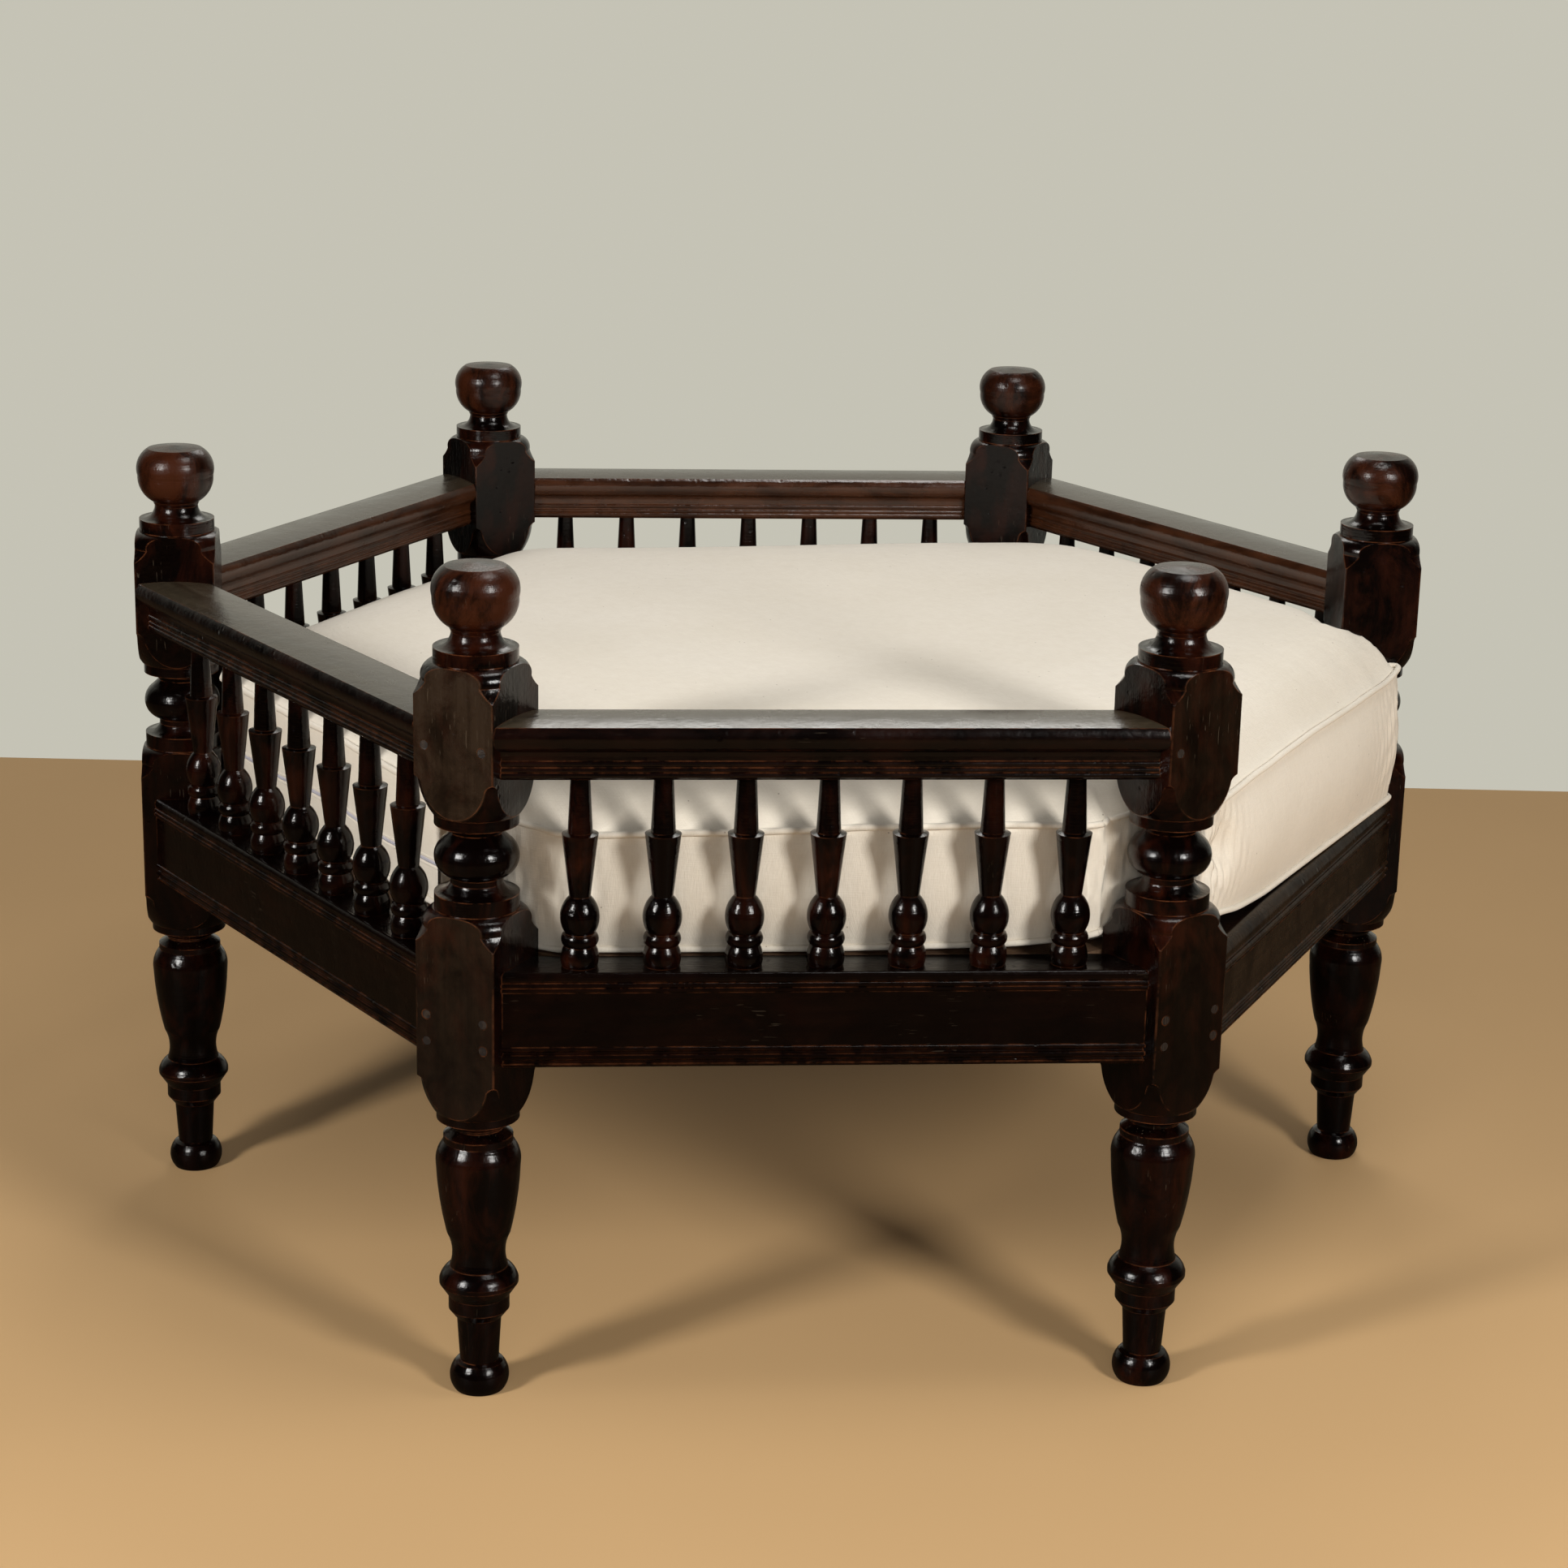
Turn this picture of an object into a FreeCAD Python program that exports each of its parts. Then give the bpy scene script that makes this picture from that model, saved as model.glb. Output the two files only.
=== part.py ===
"""A six-sided meditation bench: turned posts, moulded rails, a spindle gallery on five sides and a loose cushion.

Six square posts with turned feet, necks and ball finials stand at the corners of a regular hexagon. Moulded
seat rails join all six. Moulded top rails join five sides, with turned spindles between the two rails, and the
sixth side, the front, is left open to get in by. Rails are tenoned into the posts and pegged. Boards on
bearers inside the seat rails carry a six-sided box cushion.

Frame: millimetres, origin on the floor at the middle of the hexagon, +Z up, the open front faces -Y.
"""
import FreeCAD, Part
import math
import os
import Sketcher

Vector = FreeCAD.Vector
UP = Vector(0, 0, 1)

SIZES = (
    # plan of the bench and its six posts
    ("side_length", 594.0),
    ("post_square", 77.0),
    ("turned_radius", 36.5),
    ("arris_radius", 1.6),
    # heights of the turned and square parts of a post, from the floor up
    ("foot_height", 28.0),
    ("ankle_height", 42.0),
    ("step_height", 20.0),
    ("ring_height", 28.0),
    ("vase_height", 132.0),
    ("collar_height", 16.0),
    ("pommel_height", 36.0),
    ("lower_block_height", 120.0),
    ("shoulder_height", 27.0),
    ("cove_height", 28.0),
    ("bulge_height", 33.0),
    ("throat_height", 24.0),
    ("upper_block_height", 68.0),
    ("finial_neck_height", 29.0),
    ("finial_height", 54.0),
    # rails: both kinds are centred on one line outside the line of the post axes
    ("rail_line_offset", 19.0),
    ("top_rail_width", 66.0),
    ("top_rail_height", 49.5),
    ("top_rail_above_block", 2.0),
    ("seat_rail_thickness", 45.0),
    ("seat_rail_height", 85.0),
    ("seat_rail_above_block", 15.0),
    # joints
    ("joint_clearance", 0.15),
    ("tenon_thickness", 14.0),
    ("tenon_length", 25.0),
    ("seat_tenon_height", 72.0),
    ("top_tenon_height", 30.0),
    ("peg_radius", 4.0),
    ("peg_length", 46.0),
    ("peg_spacing", 24.0),
    ("peg_pair_drop", 13.0),
    # gallery spindles
    ("spindle_radius", 16.4),
    ("spindle_end_distance", 87.0),
    ("spindle_tenon_length", 12.0),
    ("spindle_foot_tenon_radius", 7.5),
    ("spindle_head_tenon_radius", 6.0),
    # seat boards and what carries them
    ("board_thickness", 18.0),
    ("board_gap", 0.6),
    ("bearer_width", 60.0),
    ("bearer_height", 45.0),
    ("bearer_housing", 12.0),
    ("ledger_width", 25.0),
    ("ledger_height", 25.0),
    ("ledger_end_gap", 70.0),
    # cushion
    ("cushion_boxing", 113.0),
    ("cushion_crown", 62.0),
    ("cushion_overhang", 22.0),
    ("cushion_draw", 5.0),
    ("cushion_gap", 0.8),
    ("cushion_post_gap", 4.0),
    ("seat_gap", 0.3),
    # how far a cutting shape runs past what it cuts
    ("cut_overrun", 6.0),
)
NAMED = dict(SIZES)

SIDE_COUNT = 6
TURN = 360.0 / SIDE_COUNT
FRONT_ANGLE = -90.0
COSINE = math.cos(math.radians(TURN / 2))
TANGENT = math.tan(math.radians(TURN / 2))
SPINDLES_PER_SIDE = 7
BOARD_COUNT = 5

# Sides and posts in order round the bench, starting at the open front and the post on its right.
SIDES = ("front", "front_right", "back_right", "back", "back_left", "front_left")
POSTS = ("front_right", "right", "back_right", "back_left", "left", "front_left")
OPEN_SIDE = "front"

# Outlines are rows of (out share, up share) points. Out is a share of the form's radius or width, up is a
# share of its height. A pair of points ends an arc: the point that the arc passes through, then its end.
FOOT_SHARES = ((0.60, 0.0), ((0.72, 0.46), (0.58, 0.93)), (0.47, 1.0))
ANKLE_SHARES = ((0.54, 1.0),)
STEP_SHARES = ((0.575, 0.0), ((0.675, 0.24), (0.735, 0.38)), (0.735, 1.0))
RING_SHARES = ((0.955, 0.43), (0.955, 0.57), ((0.83, 0.86), (0.70, 1.0)))
VASE_SHARES = (
    ((0.645, 0.07), (0.767, 0.24)),
    ((0.975, 0.58), (1.013, 0.73)),
    ((0.985, 0.82), (0.895, 0.87)),
    (0.835, 0.895),
    (0.835, 0.94),
    (0.60, 0.985),
)
COLLAR_SHARES = ((0.60, 0.0), (0.99, 0.5), (0.99, 1.0))
COVE_SHARES = ((1.0, 0.0), (1.0, 0.5), ((0.70, 0.64), (0.62, 0.80)))
BULGE_SHARES = ((0.62, 0.0), ((1.0, 0.56), (0.79, 1.0)))
THROAT_SHARES = ((0.61, 0.26), (0.66, 0.42), (0.99, 0.58), (0.99, 1.0))
FINIAL_NECK_SHARES = ((0.99, 0.0), (0.99, 0.42), ((0.67, 0.55), (0.57, 0.86)))
FINIAL_SHARES = ((0.62, 0.0), ((0.91, 0.20), (1.0, 0.47)), ((0.92, 0.82), (0.71, 0.955)), (0.0, 1.0))
# Where a turned part meets a square block, out runs from the turned radius to the block's corner.
POMMEL_SHARES = ((0.08, 0.0), ((0.50, 0.40), (0.70, 0.80)), ((0.80, 0.92), (1.05, 1.0)))
SHOULDER_SHARES = ((1.05, 0.0), ((0.72, 0.25), (0.55, 0.48)), ((0.42, 0.85), (0.08, 1.0)))

# One side of the top rail's section, from the bottom edge up: out is a share of its half width.
TOP_RAIL_SHARES = (
    (0.62, 0.0),
    (0.67, 0.035),
    ((0.715, 0.085), (0.67, 0.135)),
    ((0.70, 0.175), (0.66, 0.215)),
    (0.66, 0.235),
    ((0.71, 0.285), (0.66, 0.335)),
    (0.66, 0.42),
    ((0.715, 0.51), (0.86, 0.56)),
    ((1.0, 0.75), (0.90, 0.955)),
)
# The moulded face of a seat rail, from its bottom edge up: out is a share of its thickness.
RAIL_FOOT_SHARES = (
    (0.955, 0.0),
    (1.0, 0.03),
    (1.0, 0.045),
    ((0.96, 0.065), (1.0, 0.085)),
    ((1.02, 0.11), (1.0, 0.135)),
    ((0.96, 0.155), (1.0, 0.175)),
    ((1.02, 0.195), (0.985, 0.215)),
)
RAIL_HEAD_SHARES = (
    (0.985, 0.795),
    ((1.02, 0.82), (0.985, 0.845)),
    ((1.02, 0.87), (0.985, 0.895)),
    (1.0, 0.915),
    (1.0, 0.94),
    ((0.98, 0.985), (0.89, 1.0)),
)
OPEN_RAIL_HEAD_SHARES = (
    (0.985, 0.70),
    ((0.95, 0.715), (0.985, 0.73)),
    ((1.03, 0.765), (0.985, 0.80)),
    ((0.94, 0.82), (0.985, 0.84)),
    ((0.93, 0.965), (0.70, 1.0)),
)
# A spindle between its shoulders: out is a share of its greatest radius.
SPINDLE_SHARES = (
    (0.93, 0.0),
    ((1.0, 0.045), (0.83, 0.108)),
    (0.90, 0.115),
    ((0.99, 0.142), (0.90, 0.168)),
    (0.79, 0.175),
    ((1.0, 0.288), (0.56, 0.366)),
    (0.95, 0.69),
    (0.65, 0.697),
    (0.505, 1.0),
)
# Cushion levels: up is a share of the boxing or the crown, in is the share that the outline draws in by.
BOXING_SHARES = ((0.022, 0.0), (0.004, 0.06), (0.0, 0.5), (0.006, 0.97))
CROWN_SHARES = ((0.012, 0.0), (0.07, 0.30), (0.20, 0.62), (0.42, 0.88), (0.75, 1.0))


class Size:
    """A number kept with the sheet expression that gives it, so a drawn point and its binding agree."""

    def __init__(self, value, text):
        self.value = value
        self.text = text

    def joined(self, sign, other, value):
        return Size(value, "(" + self.text + " " + sign + " " + size(other).text + ")")

    def __add__(self, other):
        return self.joined("+", other, self.value + size(other).value)

    def __sub__(self, other):
        return self.joined("-", other, self.value - size(other).value)

    def __mul__(self, other):
        return self.joined("*", other, self.value * size(other).value)

    def __truediv__(self, other):
        return self.joined("/", other, self.value / size(other).value)

    def __neg__(self):
        return self * -1


def size(term):
    """The named size, sum or plain number as a Size."""
    if isinstance(term, Size):
        return term
    if isinstance(term, str):
        return Size(NAMED[term], "Sizes." + term)
    return Size(term, repr(float(term)))


NOTHING = size(0)
APOTHEM = size("side_length") * COSINE
HALF_SQUARE = size("post_square") / 2
CORNER_RADIUS = HALF_SQUARE * math.sqrt(2)
# Along a rail's centre line, from the post's axis: to the post's face, to the tenon's end and to the pegs.
FACE_ALONG = (HALF_SQUARE - size("rail_line_offset") / 2) / COSINE
TENON_END_ALONG = FACE_ALONG - "tenon_length"
PEG_ALONG = FACE_ALONG - size("tenon_length") / 2
PEG_ASIDE = PEG_ALONG * COSINE + size("rail_line_offset") / 2
RAIL_APOTHEM = APOTHEM + "rail_line_offset"
INNER_APOTHEM = RAIL_APOTHEM - size("seat_rail_thickness") / 2
POST_INNER = size("side_length") - HALF_SQUARE
TOP_TENON_RISE = (size("top_rail_height") - "top_tenon_height") / 2
# A cut or joint that changes a piece's volume by less than this share of it has missed the piece.
LEAST_CHANGE_SHARE = 0.00001


def write_sheet(doc):
    sheet = doc.addObject("Spreadsheet::Sheet", "Sizes")
    for row, (alias, value) in enumerate(SIZES, start=1):
        sheet.set("A" + str(row), alias)
        sheet.set("B" + str(row), str(value))
        sheet.setAlias("B" + str(row), alias)
    doc.recompute()


def place(item, x, y, z, angle=0.0):
    """Stand an object at a point that follows the sheet, turned about the vertical."""
    item.Placement = FreeCAD.Placement(Vector(x.value, y.value, z.value), FreeCAD.Rotation(UP, angle))
    item.setExpression("Placement.Base.x", x.text)
    item.setExpression("Placement.Base.y", y.text)
    item.setExpression("Placement.Base.z", z.text)


def polar(radius, angle):
    """The x and y of a point at a radius and an angle round the bench."""
    return radius * math.cos(math.radians(angle)), radius * math.sin(math.radians(angle))


def side_angle(side):
    return FRONT_ANGLE + TURN * SIDES.index(side)


def post_angle(post):
    return FRONT_ANGLE + TURN / 2 + TURN * POSTS.index(post)


def is_arc(step):
    return isinstance(step[0], tuple)


def end_point(step):
    return step[1] if is_arc(step) else step


def vector(pair):
    return Vector(pair[0].value, pair[1].value, 0)


def nearest_end(sketch, edge, pair):
    """1 or 2, the end of an edge that lies at a point: a clockwise arc is stored the other way round."""
    gaps = [sketch.getPoint(edge, end).distanceToPoint(vector(pair)) for end in (1, 2)]
    return 1 if gaps[0] < gaps[1] else 2


def tie(rules, ties, edge, end, pair):
    """Hold a point at distances from the sketch's origin that follow the sheet."""
    for kind, length in zip(("DistanceX", "DistanceY"), pair):
        ties.append((len(rules), length))
        rules.append(Sketcher.Constraint(kind, -1, 1, edge, end, length.value))


def constrain(sketch, rules, ties):
    """Add the constraints all at once, then bind the lengths among them to the sheet."""
    first = sketch.ConstraintCount
    sketch.addConstraint(rules)
    for number, length in ties:
        sketch.setExpression("Constraints[" + str(first + number) + "]", length.text)


def draw(sketch, outline):
    """Draw a closed outline, its corners and the middles of its arcs tied to the sheet."""
    first = sketch.GeometryCount
    edges = []
    for before, step in zip(outline[-1:] + outline[:-1], outline):
        start = vector(end_point(before))
        if is_arc(step):
            edges.append(Part.Arc(start, vector(step[0]), vector(step[1])))
        else:
            edges.append(Part.LineSegment(start, vector(step)))
    sketch.addGeometry(edges, False)
    rules = []
    ties = []
    for number, step in enumerate(outline):
        edge = first + number
        following = first + (number + 1) % len(outline)
        corner = end_point(step)
        tail = nearest_end(sketch, edge, corner)
        head = nearest_end(sketch, following, corner)
        rules.append(Sketcher.Constraint("Coincident", edge, tail, following, head))
        tie(rules, ties, edge, tail, corner)
        if is_arc(step):
            mark = sketch.addGeometry(Part.Point(vector(step[0])), True)
            rules.append(Sketcher.Constraint("PointOnObject", mark, 1, edge))
            tie(rules, ties, mark, 1, step[0])
    constrain(sketch, rules, ties)


def draw_circle(sketch, centre, radius):
    edge = sketch.addGeometry(Part.Circle(vector(centre), UP, radius.value), False)
    rules = [Sketcher.Constraint("Radius", edge, radius.value)]
    ties = [(0, radius)]
    tie(rules, ties, edge, 3, centre)
    constrain(sketch, rules, ties)


def rectangle(x_low, x_high, y_low, y_high):
    return [(x_low, y_low), (x_high, y_low), (x_high, y_high), (x_low, y_high)]


def turned(pairs, angle, middle):
    """Points turned by an angle about the origin, then moved."""
    cosine = math.cos(math.radians(angle))
    sine = math.sin(math.radians(angle))
    return [(x * cosine - y * sine + middle[0], x * sine + y * cosine + middle[1]) for x, y in pairs]


def outline_of(shares, out, up, out_from=NOTHING, up_from=NOTHING):
    """Lengths for a row of shares: out and up are the sizes, measured from the two starts."""
    def lengths(pair):
        return out_from + out * pair[0], up_from + up * pair[1]
    return [tuple(lengths(pair) for pair in step) if is_arc(step) else lengths(step) for step in shares]


def mirrored(outline):
    """The same outline on the other side of the upright axis, run backwards from its last point."""
    back = []
    for before, step in zip(outline[-2::-1], outline[:0:-1]):
        start = (-end_point(before)[0], end_point(before)[1])
        back.append(((-step[0][0], step[0][1]), start) if is_arc(step) else start)
    return back


def sketch_on(body, role, name, raised=NOTHING, along=NOTHING, angle=0.0):
    """A sketch on one of the body's own planes, moved off it and turned about its own upright axis."""
    sketch = body.newObject("Sketcher::SketchObject", name)
    plane = next(item for item in body.Origin.OriginFeatures if item.Role == role)
    sketch.AttachmentSupport = [(plane, "")]
    sketch.MapMode = "FlatFace"
    turn = FreeCAD.Rotation(Vector(0, 1, 0), angle)
    sketch.AttachmentOffset = FreeCAD.Placement(Vector(along.value, 0, raised.value), turn)
    sketch.setExpression("AttachmentOffset.Base.x", along.text)
    sketch.setExpression("AttachmentOffset.Base.z", raised.text)
    return sketch


def add_feature(body, kind, sketch, name, length, both_ways):
    feature = body.newObject("PartDesign::" + kind, name)
    feature.Profile = sketch
    feature.setExpression("Length", size(length).text)
    feature.Midplane = both_ways
    sketch.Visibility = False
    return feature


def pad(body, sketch, name, length, both_ways=False):
    return add_feature(body, "Pad", sketch, name, length, both_ways)


def pocket(body, sketch, name, length, both_ways=False):
    """Cut the way that the sketch's plane faces, or to both sides of it."""
    feature = add_feature(body, "Pocket", sketch, name, length, both_ways)
    feature.Reversed = not both_ways
    return feature


def post_levels():
    """The height at which each part of a post starts, and the outline of its turned parts."""
    level = {}
    outline = [(NOTHING, NOTHING)]
    top = NOTHING
    radius = size("turned_radius")
    turned_forms = (
        ("foot", "foot_height", FOOT_SHARES),
        ("ankle", "ankle_height", ANKLE_SHARES),
        ("step", "step_height", STEP_SHARES),
        ("ring", "ring_height", RING_SHARES),
        ("vase", "vase_height", VASE_SHARES),
        ("collar", "collar_height", COLLAR_SHARES),
        ("lower_pommel", "pommel_height", POMMEL_SHARES),
        ("lower_block", "lower_block_height", ()),
        ("lower_shoulder", "shoulder_height", SHOULDER_SHARES),
        ("cove", "cove_height", COVE_SHARES),
        ("bulge", "bulge_height", BULGE_SHARES),
        ("throat", "throat_height", THROAT_SHARES),
        ("upper_pommel", "pommel_height", POMMEL_SHARES),
        ("upper_block", "upper_block_height", ()),
        ("upper_shoulder", "shoulder_height", SHOULDER_SHARES),
        ("finial_neck", "finial_neck_height", FINIAL_NECK_SHARES),
        ("finial", "finial_height", FINIAL_SHARES),
    )
    for name, height, shares in turned_forms:
        level[name] = top
        if shares in (POMMEL_SHARES, SHOULDER_SHARES):
            outline += outline_of(shares, CORNER_RADIUS - radius, size(height), radius, top)
        else:
            outline += outline_of(shares, radius, size(height), NOTHING, top)
        top = top + height
    level["seat_rail"] = level["lower_block"] + "seat_rail_above_block"
    level["seat"] = level["seat_rail"] + "seat_rail_height"
    level["top_rail"] = level["upper_block"] + "top_rail_above_block"
    level["seat_tenon"] = level["seat_rail"] + (size("seat_rail_height") - "seat_tenon_height") / 2
    level["top_tenon"] = level["top_rail"] + TOP_TENON_RISE
    return level, outline


LEVEL, POST_OUTLINE = post_levels()
PEG_PAIR_LEVEL = LEVEL["seat_tenon"] + size("seat_tenon_height") / 2 - "peg_pair_drop"
SEAT_PEG_LEVELS = [PEG_PAIR_LEVEL + size("peg_spacing") / 2 * way for way in (-1, 1)]
TOP_PEG_LEVELS = [LEVEL["top_tenon"] + size("top_tenon_height") / 2]


def rails_at(post):
    """For each side that meets a post: which way it lies (1 for the one further round) and its name."""
    after = POSTS.index(post)
    return ((-1, SIDES[after]), (1, SIDES[(after + 1) % SIDE_COUNT]))


def square_outline(half):
    """A square with slightly rounded corners."""
    ease = size("arris_radius")
    bend = ease * (1 - math.sqrt(0.5))
    outline = []
    for x_way, y_way in ((1, -1), (1, 1), (-1, 1), (-1, -1)):
        flat = ((half - ease) * x_way, half * y_way)
        side = (half * x_way, (half - ease) * y_way)
        middle = ((half - bend) * x_way, (half - bend) * y_way)
        start, end = (flat, side) if x_way * y_way < 0 else (side, flat)
        outline += [start, (middle, end)]
    return outline


def mortise_outline(way):
    """A tenon's plan with clearance round it, from its end out past the post's face."""
    half = size("tenon_thickness") / 2 + "joint_clearance"
    low = TENON_END_ALONG - "joint_clearance"
    high = FACE_ALONG + size("cut_overrun") * 2
    angle = (180 - TURN) * way
    middle = polar(size("rail_line_offset"), TURN / 2 * way)
    return turned(rectangle(low, high, -half, half), angle, middle)


def make_blank(doc):
    """The turned timber that every post starts from, its two blocks left square."""
    body = doc.addObject("PartDesign::Body", "post_blank")
    profile = sketch_on(body, "XZ_Plane", "turning")
    draw(profile, POST_OUTLINE)
    turning = body.newObject("PartDesign::Revolution", "turned_timber")
    turning.Profile = profile
    turning.ReferenceAxis = (profile, ["V_Axis"])
    turning.Angle = 360
    flats = sketch_on(body, "XY_Plane", "flats")
    outside = CORNER_RADIUS + "cut_overrun"
    draw(flats, rectangle(-outside, outside, -outside, outside))
    draw(flats, square_outline(HALF_SQUARE))
    return body, [turning, pocket(body, flats, "squared_blocks", LEVEL["finial"])]


def make_post(doc, blank, post):
    body = doc.addObject("PartDesign::Body", "post_" + post)
    body.BaseFeature = blank
    features = [blank]
    for way, side in rails_at(post):
        features.append(cut_mortise(body, way, "seat", LEVEL["seat_tenon"], "seat_tenon_height"))
        if side != OPEN_SIDE:
            features.append(cut_mortise(body, way, "top", LEVEL["top_tenon"], "top_tenon_height"))
    holes = sketch_on(body, "YZ_Plane", "peg_places", HALF_SQUARE - "peg_length")
    for aside, up in peg_places(post):
        draw_circle(holes, (aside, up), size("peg_radius"))
    features.append(pocket(body, holes, "peg_holes", size("peg_length") + "cut_overrun"))
    x, y = polar(size("side_length"), post_angle(post))
    place(body, x, y, NOTHING, post_angle(post))
    return body, features


def cut_mortise(body, way, kind, bottom, height):
    name = kind + ("_mortise_after" if way > 0 else "_mortise_before")
    plan = sketch_on(body, "XY_Plane", name + "_plan", bottom - "joint_clearance")
    draw(plan, mortise_outline(way))
    return pocket(body, plan, name, size(height) + size("joint_clearance") * 2)


def peg_places(post):
    """Where the pegs enter a post's outer face: across it and up."""
    places = []
    for way, side in rails_at(post):
        levels = SEAT_PEG_LEVELS if side == OPEN_SIDE else SEAT_PEG_LEVELS + TOP_PEG_LEVELS
        places += [(PEG_ASIDE * way, up) for up in levels]
    return places


def make_pegs(doc):
    pegs = []
    for post in POSTS:
        angle = post_angle(post)
        for aside, up in peg_places(post):
            peg = doc.addObject("Part::Cylinder", "peg")
            peg.setExpression("Radius", (size("peg_radius") - "joint_clearance").text)
            peg.setExpression("Height", size("peg_length").text)
            inner = size("side_length") + HALF_SQUARE - "peg_length"
            x = inner * math.cos(math.radians(angle)) - aside * math.sin(math.radians(angle))
            y = inner * math.sin(math.radians(angle)) + aside * math.cos(math.radians(angle))
            place(peg, x, y, up)
            peg.Placement.Rotation = FreeCAD.Rotation(UP, Vector(*polar(1, angle), 0))
            pegs.append(peg)
    group = doc.addObject("Part::Compound", "tenon_pegs")
    group.Links = pegs
    return group, []


def make_rail(doc, name, side, section, height, tenon_height, base, peg_levels):
    """A moulded length of timber, its shoulders cut to the slant of the post faces and a tenon on each end."""
    body = doc.addObject("PartDesign::Body", name)
    profile = sketch_on(body, "YZ_Plane", "section")
    draw(profile, section)
    features = [pad(body, profile, "moulded_length", size("side_length"), both_ways=True)]
    shoulder = size("side_length") / 2 - FACE_ALONG
    reach = size("top_rail_width")
    far = size("side_length")
    ends = sketch_on(body, "XY_Plane", "waste", -size("cut_overrun"))
    for way in (-1, 1):
        low = (shoulder - reach * TANGENT) * way
        high = (shoulder + reach * TANGENT) * way
        draw(ends, [(low, -reach), (far * way, -reach), (far * way, reach), (high, reach)])
    features.append(pocket(body, ends, "shoulders", height + size("cut_overrun") * 2))
    tongues = sketch_on(body, "XY_Plane", "tongues", (height - tenon_height) / 2)
    half = size("tenon_thickness") / 2
    for way in (-1, 1):
        root = (shoulder - size("cut_overrun") * 2) * way
        tip = (size("side_length") / 2 - TENON_END_ALONG) * way
        draw(tongues, rectangle(root, tip, -half, half))
    features.append(pad(body, tongues, "tenons", tenon_height))
    for way in (-1, 1):
        along = (size("side_length") / 2 - PEG_ALONG) * way
        drilling = sketch_on(body, "XZ_Plane", "peg_marks", NOTHING, along, -TURN / 2 * way)
        for up in peg_levels:
            draw_circle(drilling, (NOTHING, up - base), size("peg_radius"))
        features.append(pocket(body, drilling, "peg_holes", size("tenon_thickness") * 2, both_ways=True))
    x, y = polar(RAIL_APOTHEM, side_angle(side))
    place(body, x, y, base, side_angle(side) + FRONT_ANGLE)
    return body, features


def drill_for_spindles(body, bottom, radius):
    """A row of holes up from a level in a rail, one for each spindle's tenon."""
    places = sketch_on(body, "XY_Plane", "spindle_marks", bottom)
    for along in spindle_places():
        draw_circle(places, (along, NOTHING), size(radius))
    return pocket(body, places, "spindle_holes", "spindle_tenon_length")


def spindle_places():
    """Distances from the middle of a side, the two end spindles set in from the corners' post axes."""
    first = size("side_length") / 2 - "spindle_end_distance"
    pitch = first * 2 / (SPINDLES_PER_SIDE - 1)
    return [pitch * number - first for number in range(SPINDLES_PER_SIDE)]


def make_seat_rail(doc, side):
    thickness = size("seat_rail_thickness")
    height = size("seat_rail_height")
    head = OPEN_RAIL_HEAD_SHARES if side == OPEN_SIDE else RAIL_HEAD_SHARES
    face = outline_of(RAIL_FOOT_SHARES + head, thickness, height, -thickness / 2)
    section = [(-thickness / 2, NOTHING)] + face + [(-thickness / 2, height)]
    body, features = make_rail(doc, "seat_rail_" + side, side, section, height, size("seat_tenon_height"),
                               LEVEL["seat_rail"], SEAT_PEG_LEVELS)
    if side != OPEN_SIDE:
        features.append(drill_for_spindles(body, height - "spindle_tenon_length", "spindle_foot_tenon_radius"))
    if side in (OPEN_SIDE, SIDES[SIDE_COUNT // 2]):
        features.append(cut_bearer_housing(body))
    return body, features


def cut_bearer_housing(body):
    """A pocket in the rail's inner face for the end of the middle bearer."""
    top = size("seat_rail_height") - "board_thickness"
    bottom = top - "bearer_height"
    half = size("bearer_width") / 2 + "joint_clearance"
    inner = -size("seat_rail_thickness") / 2
    plan = sketch_on(body, "XY_Plane", "housing_plan", bottom - "joint_clearance")
    depth = inner + "bearer_housing" + "joint_clearance"
    draw(plan, rectangle(-half, half, inner - "cut_overrun", depth))
    return pocket(body, plan, "bearer_housing", size("bearer_height") + size("joint_clearance") * 2)


def make_top_rail(doc, side):
    height = size("top_rail_height")
    right = outline_of(TOP_RAIL_SHARES, size("top_rail_width") / 2, height)
    turn = end_point(right[-1])
    crown = ((NOTHING, height), (-turn[0], turn[1]))
    section = right + [crown] + mirrored(right)
    body, features = make_rail(doc, "top_rail_" + side, side, section, height, size("top_tenon_height"),
                               LEVEL["top_rail"], TOP_PEG_LEVELS)
    features.append(drill_for_spindles(body, NOTHING, "spindle_head_tenon_radius"))
    return body, features


def spindle_profile(doc):
    """Half the outline of a spindle with a round tenon at each end, from its lower tenon up."""
    profile = doc.addObject("Sketcher::SketchObject", "spindle_turning")
    profile.Placement = FreeCAD.Placement(Vector(0, 0, 0), FreeCAD.Rotation(Vector(1, 0, 0), 90))
    length = LEVEL["top_rail"] - LEVEL["seat"]
    slack = size("joint_clearance")
    foot = size("spindle_foot_tenon_radius") - slack
    head = size("spindle_head_tenon_radius") - slack
    low = slack - "spindle_tenon_length"
    high = length + "spindle_tenon_length" - slack
    outline = [(NOTHING, low), (foot, low), (foot, NOTHING)]
    outline += outline_of(SPINDLE_SHARES, size("spindle_radius"), length)
    outline += [(head, length), (head, high), (NOTHING, high)]
    draw(profile, outline)
    return profile


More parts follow.
